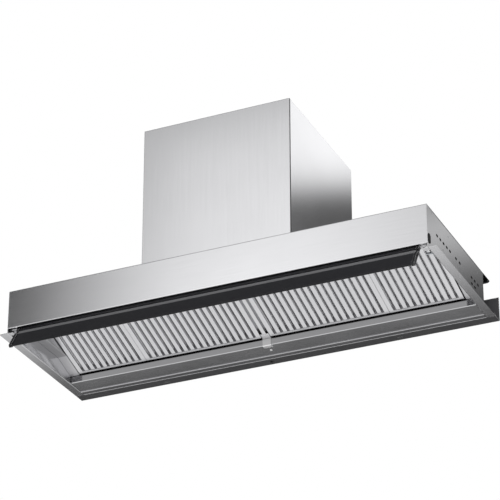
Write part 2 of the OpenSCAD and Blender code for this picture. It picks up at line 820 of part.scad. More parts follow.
// Section of the visor in Y and Z, the face on the -Y side, drawn proud by a margin
module visor_section(proud) {
    circle(r = barrel_r + proud);
    polygon([[visor_back + proud, 0], [visor_strip - proud, 0], [visor_strip - proud, -strip_end],
             [visor_groove - proud, -strip_end], [visor_groove - proud, -groove_end],
             [visor_face - proud, -groove_end],
             [visor_face - proud, lip_r - visor_l], [visor_back + proud, lip_r - visor_l]]);
    translate([(visor_back + visor_face) / 2, lip_r - visor_l]) circle(r = lip_r + proud);
}

// Hollows of the blade's section: one behind the strip, and those between the ribs
module visor_hollows() {
    w = visor_wall;
    first = groove_end + w;
    step = (visor_l - lip_r - first) / (visor_ribs + 1);
    translate([visor_strip + w, w - strip_end])
        square([visor_back - visor_strip - 2 * w, strip_end - barrel_r - 2 * w]);
    for (i = [0 : visor_ribs])
        translate([visor_face + w, w - first - (i + 1) * step])
            square([visor_back - visor_face - 2 * w, step - w]);
}

module visor_blade() {
    x = visor_x - cap_t;
    color(black) set_visor() along_x(-x, x) difference() {
        visor_section(0);
        circle(r = barrel_r - barrel_wall);
        visor_hollows();
    }
}

// Trim strip set in the groove, thicker along its upper edge
module visor_trim() {
    x = visor_x - cap_t;
    color(trim_grey) set_visor() along_x(-x, x)
        polygon([[visor_groove, -strip_end - trim_gap], [visor_groove, trim_gap - groove_end],
                 [visor_groove - trim_low_t, trim_gap - groove_end],
                 [visor_groove - trim_high_t, -strip_end - trim_gap]]);
}

module visor_right_cap() {
    color(black) set_visor() difference() {
        along_x(visor_x - cap_t + fit_gap, visor_x) visor_section(cap_proud);
        x_cylinder(visor_pin_d / 2 - pin_step, visor_x - cap_t - over, visor_x + over);
    }
}

module visor_left_cap() mirror([1, 0, 0]) visor_right_cap();

// Pivot pin: pressed into the cap with a shoulder, and turning in the bracket
module visor_right_pin() {
    color(steel) set_visor() {
        x_cylinder(visor_pin_d / 2 - pin_step, visor_x - cap_t + fit_gap, visor_x);
        x_cylinder(visor_pin_d / 2 + pin_flange_w, visor_x, visor_x + pin_flange_t);
        x_cylinder(visor_pin_d / 2, visor_x, inner_x);
    }
}

module visor_left_pin() mirror([1, 0, 0]) visor_right_pin();

// Plate on the inside of a side wall that carries a pivot pin, seen through the tall slot
module right_visor_bracket() {
    x0 = inner_x - bracket_t;
    color(black) in_place() difference() {
        union() {
            bar([x0, visor_y - bracket_front, bracket_low],
                [inner_x, visor_y + bracket_rear, bracket_low + bracket_h]);
            translate([0, visor_y, visor_z]) x_cylinder(visor_pin_d / 2 + boss_wall, x0 - boss_t, inner_x);
        }
        translate([0, visor_y, visor_z])
            x_cylinder(visor_pin_d / 2 + pin_gap, x0 - boss_t - over, hood_w / 2);
    }
}

module left_visor_bracket() mirror([1, 0, 0]) right_visor_bracket();

// Angles on the side walls, each with a peg that the folded visor's cap closes against
module visor_stops() {
    stop_z = visor_z + visor_back + cap_proud + move_gap / 2;
    inner = inner_x - stop_w;
    color(galvanised) in_place()
        for (side = [0, 1]) mirror([side, 0, 0])
            translate([0, front_y + stop_at, stop_z]) {
                bar([inner, 0, 0], [inner_x, stop_l, stop_t]);
                bar([inner_x - stop_t, 0, -stop_drop], [inner_x, stop_l, stop_t]);
                bar([inner, 0, 0], [inner + stop_t, stop_l, stop_t + peg_d]);
                translate([0, stop_l / 2, peg_d / 2])
                    x_cylinder(peg_d / 2, visor_x - peg_lap, inner + stop_t);
            }
}

// Rivets through the side walls
module canopy_rivets() {
    color(steel) in_place()
        for (side = [0, 1]) mirror([side, 0, 0]) for (share = rivet_shares)
            translate([0, front_y + share[0] * box_d, share[1] * box_h]) {
                x_cylinder(rivet_shank_d / 2, wall_x, hood_w / 2);
                x_cylinder(rivet_d / 2, hood_w / 2, hood_w / 2 + rivet_proud);
            }
}

// Screw head under the wall strip
module canopy_screws() {
    strip_y = (flange_rear_y + fit_gap - wall_sheet_t) / 2;
    color(galvanised) in_place() {
        translate([strip_screw_share * hood_w, strip_y, -screw_head_t])
            cylinder(d = screw_head_d, h = screw_head_t);
    }
}

// Chimney

module chimney_front() {
    z1 = box_h + chimney_h;
    inside = chimney_x - sheet_t - fit_gap;
    color(steel) in_place() {
        bar([-chimney_x, chimney_y, box_h], [chimney_x, chimney_y + sheet_t, z1]);
        for (side = [-1, 1])
            bar([side * (inside - sheet_t / 2) - sheet_t / 2, chimney_y + sheet_t, box_h],
                [side * (inside - sheet_t / 2) + sheet_t / 2, chimney_y + chimney_return, z1]);
        bar([-inside + sheet_t, chimney_y + sheet_t, z1 - sheet_t],
            [inside - sheet_t, chimney_y + chimney_return, z1]);
    }
}

module chimney_side() {
    z1 = box_h + chimney_h;
    x0 = chimney_x - sheet_t;
    start_y = chimney_y + sheet_t + chimney_seam;
    color(steel) in_place() difference() {
        union() {
            bar([x0, start_y, box_h], [chimney_x, -chimney_wall_gap, z1]);
            bar([x0 - chimney_return, -chimney_wall_gap - sheet_t, box_h],
                [x0, -chimney_wall_gap, z1]);
            bar([x0 - chimney_return, chimney_y + chimney_return + fit_gap, z1 - sheet_t],
                [x0, -chimney_wall_gap, z1]);
        }
        chimney_screw_places() y_cylinder(chimney_screw_d / 2, -chimney_wall_gap - sheet_t - over, 0);
    }
}

// Black strips that fill the seams between the chimney's front and its sides
module chimney_seals() {
    y0 = chimney_y + sheet_t;
    color(black) in_place() for (side = [0, 1]) mirror([side, 0, 0])
        bar([chimney_x - sheet_t, y0, box_h],
            [chimney_x - chimney_seal_inset, y0 + chimney_seam, box_h + chimney_h]);
}

module chimney_right_side() chimney_side();
module chimney_left_side() mirror([1, 0, 0]) chimney_side();

// Bracket on the house wall. Its ears stand off the wall behind the rear folds of the
// chimney's sides, which are screwed to them from inside
module chimney_wall_bracket() {
    z1 = box_h + chimney_h - chimney_bracket_drop;
    z0 = z1 - chimney_bracket_h;
    half = chimney_x - sheet_t - fit_gap;
    inner = half - chimney_ear;
    ear_y = fit_gap - chimney_wall_gap;
    t = chimney_bracket_t;
    color(galvanised) in_place() difference() {
        union() {
            bar([-inner, -t, z0], [inner, 0, z1]);
            for (side = [0, 1]) mirror([side, 0, 0]) {
                bar([inner - t, ear_y, z0], [inner, 0, z1]);
                bar([inner - t, ear_y, z0], [half, ear_y + t, z1]);
            }
        }
        for (side = [0, 1]) mirror([side, 0, 0]) {
            translate([bracket_hole_share * half, 0, (z0 + z1) / 2])
                y_cylinder(bracket_hole_d / 2, -t - over, over);
            chimney_screw_places() y_cylinder(chimney_screw_d / 2, -chimney_wall_gap, 0);
        }
    }
}

module chimney_screw_places()
    translate([chimney_x - sheet_t - fit_gap - chimney_ear / 2, 0,
               box_h + chimney_h - chimney_bracket_drop - chimney_bracket_h / 2]) children();

module chimney_screws() {
    head_y = -chimney_wall_gap - sheet_t;
    color(steel) in_place() for (side = [0, 1]) mirror([side, 0, 0]) chimney_screw_places() {
        y_cylinder(chimney_screw_d / 2, head_y, fit_gap + chimney_bracket_t - chimney_wall_gap);
        y_cylinder(screw_head_d / 2, head_y - screw_head_t, head_y);
    }
}

// Blower

// Sheet box round the fan housing, open below over the canopy
module blower_box() {
    t = sheet_t;
    x = blower_x;
    y0 = blower_front_y;
    y1 = blower_rear_y;
    z0 = box_h;
    z1 = blower_top_z;
    color(galvanised) in_place() difference() {
        bar([-x, y0, z0], [x, y1, z1]);
        bar([-x + t, y0 + t, z0 + t], [x - t, y1 - t, z1 - t]);
        bar([-x + box_flange, y0 + box_flange, z0 - over],
            [x - box_flange, y1 - box_flange, z0 + box_h / 4]);
        translate([0, collar_y, z1 - t - over])
            cylinder(r = duct_d / 2 - duct_wall, h = t + 2 * over);
    }
}

// Spiral outline, from the tongue round to the outlet wall, at a distance off it
function spiral_points(grow) =
    [for (i = [0 : spiral_steps])
        let (a = tongue_angle + spiral_turn * i / spiral_steps, r = spiral_r(a) + grow)
        [r * cos(a), r * sin(a)]];

module scroll_outline(grow, rise) {
    polygon(concat([[tongue_p - grow, rise]], spiral_points(grow), [[scroll_r1 + grow, rise]]));
}

module blower_housing() {
    rise = blower_top_z - sheet_t - fit_gap - axis_z;
    color(galvanised) in_place() translate([0, axis_y, axis_z]) difference() {
        along_x(-scroll_x - scroll_t, scroll_x + scroll_t) scroll_outline(scroll_t, rise);
        along_x(-scroll_x, scroll_x) scroll_outline(0, rise + over);
        x_cylinder(inlet_r, -scroll_x - scroll_t - over, scroll_x + scroll_t + over);
    }
}

// Spider outside the left inlet that carries the motor
module motor_mount() {
    x1 = -scroll_x - scroll_t;
    x0 = x1 - mount_t;
    outer = inlet_r + mount_ring;
    color(galvanised) in_place() translate([0, axis_y, axis_z]) {
        difference() {
            x_cylinder(outer, x0, x1);
            x_cylinder(inlet_r, x0 - over, x1 + over);
        }
        for (i = [0 : mount_arms - 1]) rotate([i * 360 / mount_arms, 0, 0])
            bar([x0, motor_cap_r - mount_ring, -mount_arm_w / 2], [x1, inlet_r + mount_ring / 2, mount_arm_w / 2]);
        difference() {
            x_cylinder(motor_cap_r, x0, x1);
            x_cylinder(shaft_d, x0 - over, x1 + over);
        }
    }
}

module motor() {
    x0 = -scroll_x - scroll_t;
    x1 = x0 + motor_cap_t;
    x2 = x1 + motor_l;
    color(plastic) in_place() translate([0, axis_y, axis_z]) difference() {
        union() {
            x_cylinder(motor_cap_r, x0, x1);
            x_cylinder(motor_d / 2, x1, x2);
            x_cylinder(shaft_d, x2, x2 + shaft_d / 2);
        }
        x_cylinder(shaft_d / 2 + pin_gap, x1, x2 + shaft_d);
    }
}

motor_end_x = -scroll_x - scroll_t + motor_cap_t + motor_l + shaft_d / 2;

// Fan wheel: middle disc with its hub, a ring at each end and forward-curved blades
module impeller() {
    half = impeller_w / 2;
    r1 = impeller_d / 2;
    r0 = r1 - blade_chord;
    disc_x = motor_end_x + move_gap + hub_l / 2;
    color(plastic) in_place() translate([0, axis_y, axis_z]) {
        difference() {
            union() {
                x_cylinder(r0 + blade_t, disc_x - disc_t / 2, disc_x + disc_t / 2);
                x_cylinder(hub_r, disc_x - hub_l / 2, disc_x + hub_l / 2);
            }
            x_cylinder(shaft_d / 2, -half, half);
        }
        for (side = [-1, 1])
            difference() {
                x_cylinder(r1, side * (half - ring_t / 2) - ring_t / 2,
                           side * (half - ring_t / 2) + ring_t / 2);
                x_cylinder(r1 - ring_w, -half - over, half + over);
            }
        for (i = [0 : blade_count - 1]) rotate([i * 360 / blade_count, 0, 0])
            along_x(-half, half) blade_section(r0, r1);
    }
}

// Section of one blade: an arc that leaves the wheel leaning into its turn
module blade_section(r0, r1) {
    steps = 5;
    path = [for (i = [0 : steps])
               let (s = i / steps, r = r0 + (r1 - r0) * s, lean = blade_hook * blade_chord * s * s)
               [r - blade_t / 2, lean]];
    polygon(sheet_outline(path, blade_t));
}

module impeller_shaft() {
    x0 = -scroll_x - scroll_t + motor_cap_t + move_gap;
    x1 = motor_end_x + move_gap + hub_l + shaft_d / 2;
    color(steel) in_place() translate([0, axis_y, axis_z]) x_cylinder(shaft_d / 2, x0, x1);
}

// Round outlet on the blower box, with a flange under it and a stop ring for the flaps
module duct_collar() {
    r = duct_d / 2;
    stop_z = duct_l / 2 - flap_t / 2 - flap_stop_gap - flap_stop_t;
    color(plastic) in_place() translate([0, collar_y, blower_top_z]) difference() {
        union() {
            cylinder(r = r + collar_flange, h = collar_flange_t);
            cylinder(r = r, h = duct_l);
        }
        difference() {
            translate([0, 0, -over]) cylinder(r = r - duct_wall, h = duct_l + 2 * over);
            translate([0, 0, stop_z]) flap_stop();
        }
        translate([0, 0, duct_l / 2]) y_cylinder(flap_axle_d / 2, -r - over, r + over);
    }
}

// Ring inside the collar that the closed flaps lie over
module flap_stop() difference() {
    cylinder(r = duct_d / 2, h = flap_stop_t);
    translate([0, 0, -over])
        cylinder(r = duct_d / 2 - duct_wall - flap_stop_w, h = flap_stop_t + 2 * over);
}

module flap_axle() {
    r = duct_d / 2 - fit_gap;
    color(steel) in_place() translate([0, collar_y, flap_z]) y_cylinder(flap_axle_d / 2, -r, r);
}

// Half-round flap with two knuckles on the axle. The knuckles of the other half sit between.
module flap(side) {
    r = duct_d / 2 - duct_wall - flap_gap;
    slit = knuckle_r + knuckle_gap;
    length = knuckle_share * duct_d;
    first = side > 0 ? -2 * length : -length;
    bases = [for (i = [0 : 1]) first + 2 * i * length];
    color(galvanised) in_place() translate([0, collar_y, flap_z]) difference() {
        union() {
            intersection() {
                translate([0, 0, -flap_t / 2]) cylinder(r = r, h = flap_t);
                bar([side > 0 ? slit : -r, -r, -flap_t], [side > 0 ? r : -slit, r, flap_t]);
            }
            for (base = bases) {
                y_cylinder(knuckle_r, base + knuckle_gap / 2, base + length - knuckle_gap / 2);
                bar([side > 0 ? 0 : -slit - flap_t, base + knuckle_gap / 2, -flap_t / 2],
                    [side > 0 ? slit + flap_t : 0, base + length - knuckle_gap / 2, flap_t / 2]);
            }
        }
        y_cylinder(flap_axle_d / 2 + pin_gap, -duct_d, duct_d);
    }
}

module right_flap() flap(1);
module left_flap() flap(-1);

// Control box on the top plate in front of the blower box, with its cable gland
module control_box() {
    wall = control_wall;
    y1 = control_y + control_d / 2;
    color(plastic) in_place() difference() {
        bar([-control_w / 2, y1 - control_d, box_h], [control_w / 2, y1, box_h + control_h]);
        bar([-control_w / 2 + wall, y1 - control_d + wall, box_h + wall],
            [control_w / 2 - wall, y1 - wall, box_h + control_h - wall]);
        translate([gland_x, control_y, box_h + control_h - wall - over])
            cylinder(r = gland_bore_d / 2 + wall, h = wall + 2 * over);
    }
}

module cable_gland() {
    color(black) in_place() translate([gland_x, control_y, box_h + control_h]) difference() {
        union() {
            cylinder(d = gland_nut_d, h = gland_nut_l, $fn = 6);
            cylinder(d = gland_d, h = gland_l);
        }
        translate([0, 0, -over]) cylinder(d = gland_bore_d, h = gland_l + 2 * over);
    }
}

fascia();
left_side_wall();
right_side_wall();
rear_wall();
top_plate();
rear_ledge();
left_side_channel();
right_side_channel();
lamp_panel();
lamp_board();
lamp_lens();
centre_rail();
centre_tab();
filter_rod();
filter_magnets();
wall_strip();
wall_rail();
left_visor_bracket();
right_visor_bracket();
visor_stops();
canopy_rivets();
canopy_screws();
chimney_front();
chimney_left_side();
chimney_right_side();
chimney_seals();
chimney_wall_bracket();
chimney_screws();
blower_box();
blower_housing();
motor_mount();
motor();
duct_collar();
flap_axle();
control_box();
cable_gland();
visor_blade();
visor_trim();
visor_left_cap();
visor_right_cap();
visor_left_pin();
visor_right_pin();
left_outer_filter_frame();
left_outer_filter_front_baffles();
left_outer_filter_rear_baffles();
left_inner_filter_frame();
left_inner_filter_front_baffles();
left_inner_filter_rear_baffles();
right_inner_filter_frame();
right_inner_filter_front_baffles();
right_inner_filter_rear_baffles();
right_outer_filter_frame();
right_outer_filter_front_baffles();
right_outer_filter_rear_baffles();
impeller();
impeller_shaft();
left_flap();
right_flap();
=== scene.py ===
"""Looks for a wall mounted range hood: finishes, screws and rivets, studio and camera."""

import logging
import math
from dataclasses import dataclass, field
from enum import Enum
from typing import Any, Callable, Mapping, Sequence

import bmesh
import bpy
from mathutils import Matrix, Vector


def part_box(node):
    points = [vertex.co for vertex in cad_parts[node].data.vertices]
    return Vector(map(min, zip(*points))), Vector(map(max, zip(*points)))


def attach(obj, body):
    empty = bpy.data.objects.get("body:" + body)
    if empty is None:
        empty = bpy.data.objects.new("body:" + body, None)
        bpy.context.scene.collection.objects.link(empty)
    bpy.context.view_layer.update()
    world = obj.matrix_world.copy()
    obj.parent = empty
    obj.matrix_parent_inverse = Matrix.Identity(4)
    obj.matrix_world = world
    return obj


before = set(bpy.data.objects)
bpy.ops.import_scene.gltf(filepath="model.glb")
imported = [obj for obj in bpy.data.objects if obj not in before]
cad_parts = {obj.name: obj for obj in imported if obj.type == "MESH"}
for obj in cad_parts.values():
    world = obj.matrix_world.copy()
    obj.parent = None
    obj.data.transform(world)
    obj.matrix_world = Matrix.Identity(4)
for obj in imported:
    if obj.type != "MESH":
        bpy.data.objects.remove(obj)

LOG = logging.getLogger("range_hood")
MM = 0.001
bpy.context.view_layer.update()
WHITE = (1.0, 1.0, 1.0, 1.0)
# Nearly all values of a noise texture lie between these two.
NOISE_SPAN = {"From Min": 0.3, "From Max": 0.7}
# A rectangle of size one reaches from here to there.
UNIT_SPAN = {"From Min": -0.5, "From Max": 0.5}
# How well an edge's rounded and flat normals agree where its wear and painted highlight begin and
# where they are full.
EDGE_WEAR_AND_HIGHLIGHT_SPAN = {"From Min": 0.99, "From Max": 0.80}

Material = bpy.types.Material
Place = tuple[float, float, float]
Shape = bmesh.types.BMesh
Node = bpy.types.Node
Socket = bpy.types.NodeSocket
Feed = Node | Socket
Tree = bpy.types.NodeTree


class Grain(Enum):
    """Which way the brushing of a sheet runs: the pattern's scale along X, Y and Z."""

    ALONG_X = (0.010, 1.0, 1.0)
    ALONG_Y = (1.0, 0.010, 1.0)
    ALONG_Z = (1.0, 1.0, 0.010)


class Axis(Enum):
    """The way a small piece points."""

    PLUS_X = (1.0, 0.0, 0.0)
    MINUS_X = (-1.0, 0.0, 0.0)
    PLUS_Z = (0.0, 0.0, 1.0)
    MINUS_Z = (0.0, 0.0, -1.0)


def linear(code: str) -> tuple[float, float, float, float]:
    """Turns an sRGB hex value into a linear colour.

    Args:
        code: Six hex digits, with or without a leading hash.

    Returns:
        Red, green, blue and an alpha of 1.
    """
    digits = code.lstrip("#")
    parts = [int(digits[i:i + 2], 16) / 255 for i in (0, 2, 4)]
    red, green, blue = [c / 12.92 if c <= 0.04045 else ((c + 0.055) / 1.055) ** 2.4
                        for c in parts]
    return red, green, blue, 1.0


def per_mm(size_mm: float) -> float:
    """Scale of a pattern whose features are size_mm across, for coordinates in metres."""
    return 1.0 / (size_mm * MM)


def add_node(tree: Tree, kind: str, inputs: Mapping[Any, Any] | None = None,
             **settings: Any) -> Node:
    """Adds one node to a tree.

    Args:
        tree: The shader or geometry tree.
        kind: The node's type name.
        inputs: Input name or index to a value, to the output that feeds it, or to the node
            whose first output in use does.
        **settings: Properties of the node.

    Returns:
        The new node.
    """
    node = tree.nodes.new(kind)
    for key, value in settings.items():
        setattr(node, key, value)
    for key, value in (inputs or {}).items():
        if isinstance(value, Node):
            value = next(output for output in value.outputs if output.enabled)
        if isinstance(value, Socket):
            tree.links.new(value, node.inputs[key])
        else:
            node.inputs[key].default_value = value
    return node


def new_material(name: str) -> tuple[Material, Tree]:
    """Makes an empty node material.

    Args:
        name: The material's name.

    Returns:
        The material and its cleared tree.
    """
    material = bpy.data.materials.new(name)
    material.use_nodes = True
    material.node_tree.nodes.clear()
    return material, material.node_tree


def toned(tree: Tree, colour: str, pattern: Feed, low: float, high: float,
          span: Mapping[str, float] = NOISE_SPAN) -> Node:
    """Lets a pattern darken and lighten a colour.

    Args:
        tree: The shader tree.
        colour: The colour's sRGB hex value.
        pattern: The pattern's output.
        low: The colour's share where the pattern is lowest.
        high: Its share where the pattern is highest.
        span: The pattern's own lowest and highest value.

    Returns:
        The node that gives the colour.
    """
    share = add_node(tree, "ShaderNodeMapRange", {
        "Value": pattern, "To Min": low, "To Max": high, **span})
    return add_node(tree, "ShaderNodeVectorMath", {
        0: linear(colour)[:3], "Scale": share}, operation="SCALE")


def relief(tree: Tree, pattern: Feed, depth_mm: float, strength: float = 0.5,
           bend_mm: float = 0.8, samples: int = 4) -> Node:
    """Rounds the edges to the light and raises a pattern on the surface.

    Args:
        tree: The shader tree.
        pattern: The pattern's output.
        depth_mm: Its depth.
        strength: How much of the depth shows.
        bend_mm: The radius of the edges.
        samples: How finely they are rounded.

    Returns:
        The node that gives the normal.
    """
    bends = add_node(tree, "ShaderNodeBevel", {"Radius": bend_mm * MM}, samples=samples)
    return add_node(tree, "ShaderNodeBump", {
        "Height": pattern, "Distance": depth_mm * MM, "Strength": strength, "Normal": bends})


@dataclass(frozen=True)
class Finish:
    """A real surface. Each kind below draws what the eye sees of one."""

    name: str

    def make(self) -> Material:
        """Builds the material."""
        material, tree = new_material(self.name)
        place = add_node(tree, "ShaderNodeTexCoord").outputs["Object"]
        add_node(tree, "ShaderNodeOutputMaterial", {"Surface": self.shader(tree, place)})
        return material

    def shader(self, tree: Tree, place: Socket) -> Node:
        """Draws the surface.

        Args:
            tree: The material's tree.
            place: The place on the piece, in metres.

        Returns:
            The surface's shader.
        """
        raise NotImplementedError


@dataclass(frozen=True)
class BrushedSteel(Finish):
    """Stainless steel sheet, belt brushed: fine streaks, and bends that catch the light."""

    grain: Grain
    colour: str = "DADADC"
    roughness: float = 0.15
    streak_mm: float = 1.6
    bend_mm: float = 2.0
    cloud_mm: float = 160.0

    def shader(self, tree: Tree, place: Socket) -> Node:
        """Draws streaks along the grain, and clouds in the gloss as wiping leaves them."""
        # Real streaks are about 0.2 mm wide. They are drawn coarser, so that they show.
        stretch = add_node(tree, "ShaderNodeMapping", {"Vector": place, "Scale": self.grain.value})
        streaks = add_node(tree, "ShaderNodeTexNoise", {
            "Vector": stretch, "Scale": per_mm(self.streak_mm), "Detail": 4.0, "Roughness": 0.7})
        clouds = add_node(tree, "ShaderNodeTexNoise", {
            "Vector": place, "Scale": per_mm(self.cloud_mm), "Detail": 3.0})
        wiped = add_node(tree, "ShaderNodeMapRange", {
            "Value": clouds, "To Min": self.roughness - 0.02,
            "To Max": self.roughness + 0.03, **NOISE_SPAN})
        gloss = add_node(tree, "ShaderNodeMath", {
            0: streaks, 1: 0.05, 2: wiped}, operation="MULTIPLY_ADD")
        return add_node(tree, "ShaderNodeBsdfPrincipled", {
            "Base Color": toned(tree, self.colour, streaks, low=0.955, high=1.02), "Metallic": 1.0,
            "Roughness": gloss,
            "Normal": relief(tree, streaks, depth_mm=0.004, bend_mm=self.bend_mm, samples=6)})


@dataclass(frozen=True)
class DarkCoat(Finish):
    """Powder, anodising or moulded nylon: faint orange peel, and lighter edges, rubbed wear with
    the dark edge colours and a painted highlight with the pale ones.
    """

    colour: str = "151517"
    edge_wear_and_highlight: str = "303032"
    roughness: float = 0.5
    specular: float = 0.3
    peel_mm: float = 3.0
    bend_mm: float = 1.0
    blotch_mm: float = 90.0

    def shader(self, tree: Tree, place: Socket) -> Node:
        """Draws the coat, with the edge colour where the rounded normal leaves the flat one: wear,
        and a painted highlight where that colour is pale.
        """
        # Real orange peel is about 1 mm across. It is drawn coarser, so that it shows.
        peel = add_node(tree, "ShaderNodeTexNoise", {
            "Vector": place, "Scale": per_mm(self.peel_mm), "Detail": 3.0})
        blotch = add_node(tree, "ShaderNodeTexNoise", {
            "Vector": place, "Scale": per_mm(self.blotch_mm), "Detail": 2.0})
        bends = add_node(tree, "ShaderNodeBevel", {"Radius": self.bend_mm * MM}, samples=4)
        flat = add_node(tree, "ShaderNodeNewGeometry")
        turn = add_node(tree, "ShaderNodeVectorMath", {
            0: bends, 1: flat.outputs["Normal"]}, operation="DOT_PRODUCT")
        # The edge colour goes on the bends: rubbed wear, and a painted highlight where it is pale.
        edge = add_node(tree, "ShaderNodeMapRange", {
            "Value": turn, "To Min": 0.0, "To Max": 0.7, **EDGE_WEAR_AND_HIGHLIGHT_SPAN})
        # A colour mix takes its two colours at inputs 6 and 7.
        coat = add_node(tree, "ShaderNodeMix", {
            0: edge, 6: linear(self.colour), 7: linear(self.edge_wear_and_highlight)}, data_type="RGBA")
        gloss = add_node(tree, "ShaderNodeMapRange", {
            "Value": blotch, "To Min": self.roughness - 0.05,
            "To Max": self.roughness + 0.06, **NOISE_SPAN})
        bump = add_node(tree, "ShaderNodeBump", {
            "Height": peel, "Distance": 0.05 * MM, "Strength": 0.5, "Normal": bends})
        return add_node(tree, "ShaderNodeBsdfPrincipled", {
            "Base Color": coat, "Roughness": gloss,
            "Specular IOR Level": self.specular, "Normal": bump})


@dataclass(frozen=True)
class ZincPlate(Finish):
    """Hot-dip galvanised sheet: a cool grey with faint crystal spangle."""

    colour: str = "A9ADB1"
    roughness: float = 0.42
    spangle_mm: float = 9.0

    def shader(self, tree: Tree, place: Socket) -> Node:
        """Draws the crystals, each with its own tone and gloss."""
        spangle = add_node(tree, "ShaderNodeTexVoronoi", {
            "Vector": place, "Scale": per_mm(self.spangle_mm), "Randomness": 1.0})
        grey = add_node(tree, "ShaderNodeSeparateColor", {"Color": spangle.outputs["Color"]})
        gloss = add_node(tree, "ShaderNodeMapRange", {
            "Value": grey.outputs["Green"], "To Min": self.roughness - 0.08,
            "To Max": self.roughness + 0.08})
        return add_node(tree, "ShaderNodeBsdfPrincipled", {
            "Base Color": toned(tree, self.colour, grey.outputs["Red"], 0.84, 1.05, span={}),
            "Metallic": 1.0, "Roughness": gloss})


@dataclass(frozen=True)
class BareMetal(Finish):
    """Turned, rolled or cast metal without a coat: fine tool marks in one direction."""

    colour: str
    roughness: float
    grain: Grain
    mark_mm: float = 2.0

    def shader(self, tree: Tree, place: Socket) -> Node:
        """Draws the tool marks, in the tone and in the relief."""
        stretch = add_node(tree, "ShaderNodeMapping", {"Vector": place, "Scale": self.grain.value})
        marks = add_node(tree, "ShaderNodeTexNoise", {
            "Vector": stretch, "Scale": per_mm(self.mark_mm), "Detail": 3.0})
        return add_node(tree, "ShaderNodeBsdfPrincipled", {
            "Base Color": toned(tree, self.colour, marks, low=0.88, high=1.05), "Metallic": 1.0,
            "Roughness": self.roughness, "Normal": relief(tree, marks, depth_mm=0.02)})


@dataclass(frozen=True)
class MouldedPlastic(Finish):
    """Injection moulded ABS, nylon or rubber: spark-eroded grain, soft sheen."""

    colour: str
    roughness: float = 0.5
    grain_mm: float = 1.4

    def shader(self, tree: Tree, place: Socket) -> Node:
        """Draws the mould's grain, in the tone and in the relief."""
        # Real mould grain is about 0.3 mm across. It is drawn coarser, so that it shows.
        grain = add_node(tree, "ShaderNodeTexNoise", {
            "Vector": place, "Scale": per_mm(self.grain_mm), "Detail": 2.0})
        return add_node(tree, "ShaderNodeBsdfPrincipled", {
            "Base Color": toned(tree, self.colour, grain, low=0.92, high=1.06),
            "Roughness": self.roughness, "IOR": 1.5,
            "Normal": relief(tree, grain, depth_mm=0.05, strength=0.4)})


@dataclass(frozen=True)
class FrostedAcrylic(Finish):
    """Opal acrylic sheet over the lamp: milky white with a satin skin."""

    colour: str = "F2F0EA"
    frost_mm: float = 2.0

    def shader(self, tree: Tree, place: Socket) -> Node:
        """Draws the frosted skin, in the gloss."""
        frost = add_node(tree, "ShaderNodeTexNoise", {
            "Vector": place, "Scale": per_mm(self.frost_mm), "Detail": 2.0})
        gloss = add_node(tree, "ShaderNodeMapRange", {
            "Value": frost, "To Min": 0.30, "To Max": 0.45})
        return add_node(tree, "ShaderNodeBsdfPrincipled", {
            "Base Color": linear(self.colour), "Roughness": gloss, "IOR": 1.49})


@dataclass
class Finishes:
    """All finishes of the hood, made once and shared by its pieces."""

    made: dict[Finish, Material] = field(default_factory=dict)

    def get(self, finish: Finish) -> Material:
        """Returns the finish's material, and builds it the first time.

        Args:
            finish: One of the finishes below.

        Returns:
            The shared material.
        """
        if finish not in self.made:
            self.made[finish] = finish.make()
        return self.made[finish]

    def paint(self, looks: Mapping[str, Finish]) -> None:
        """Gives carried-over CAD nodes their materials.

        Args:
            looks: Node name to finish.
        """
        for name, finish in looks.items():
            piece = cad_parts[name]
            if not piece.material_slots:
                piece.data.materials.append(self.get(finish))
            for slot in piece.material_slots:
                slot.material = self.get(finish)
            LOG.info("%s: %s", name, finish.name)


# The tone, the gloss and the width of the shine on the folds were set beside the photograph.
STEEL_ACROSS = BrushedSteel("brushed_steel_grain_along_x", Grain.ALONG_X)
STEEL_UPRIGHT = BrushedSteel("brushed_steel_grain_upright", Grain.ALONG_Z)
WALL_STEEL = BrushedSteel("side_wall_steel_grain_along_y", Grain.ALONG_Y, bend_mm=0.7)
# The channels' darker, duller copy of the steel is painted shade.
CHANNEL_STEEL = BrushedSteel("channel_steel_grain_along_y_painted_shade", Grain.ALONG_Y, "C2C2C4", 0.36)
# The rear wall's darker copy of the steel is painted shade.
REAR_STEEL = BrushedSteel("rear_wall_steel_painted_shade", Grain.ALONG_X, "B2B2B4", 0.18, bend_mm=0.5)
# The ledge's darker copy of the steel is painted shade on its underside.
LEDGE_STEEL = BrushedSteel("ledge_steel_grain_along_x_painted_shade", Grain.ALONG_X, "C8C8CA", 0.18,
                           bend_mm=0.9)
SLAT_STEEL = BrushedSteel("filter_steel_grain_along_slats", Grain.ALONG_Y, "D2D2D4", 0.22,
                          bend_mm=1.2)
# The rear baffles' lighter copy of the filter steel is painted light inside the filters' slots.
BAFFLE_STEEL = BrushedSteel("rear_baffle_steel_painted_light", Grain.ALONG_Y, "DCDCDE", 0.28, bend_mm=1.2)
# The centre tab's near-white copy of the steel is a painted highlight.
BRIGHT_STEEL = BrushedSteel("centre_tab_steel_painted_highlight", Grain.ALONG_Y, "F6F6F7", 0.30, bend_mm=1.2)
BLACK_COAT = DarkCoat("black_powder_coat")
# The wall strip's near-white edge colour is a painted highlight along its bends.
STRIP_COAT = DarkCoat("dark_grey_powder_coat_painted_bend_highlight", "39393B", "F4F4F6", 0.42, specular=0.4,
                      bend_mm=2.0)
VISOR_COAT = DarkCoat("black_anodised_visor", "1D1D20", "36363A", 0.36, specular=0.2,
                      peel_mm=2.4, bend_mm=0.8)
# The caps' pale edge colour is a painted highlight on their rims.
CAP_NYLON = DarkCoat("black_cap_painted_rim_highlight", "1A1A1C", "C4C4C6", 0.40, peel_mm=2.4, bend_mm=1.2)
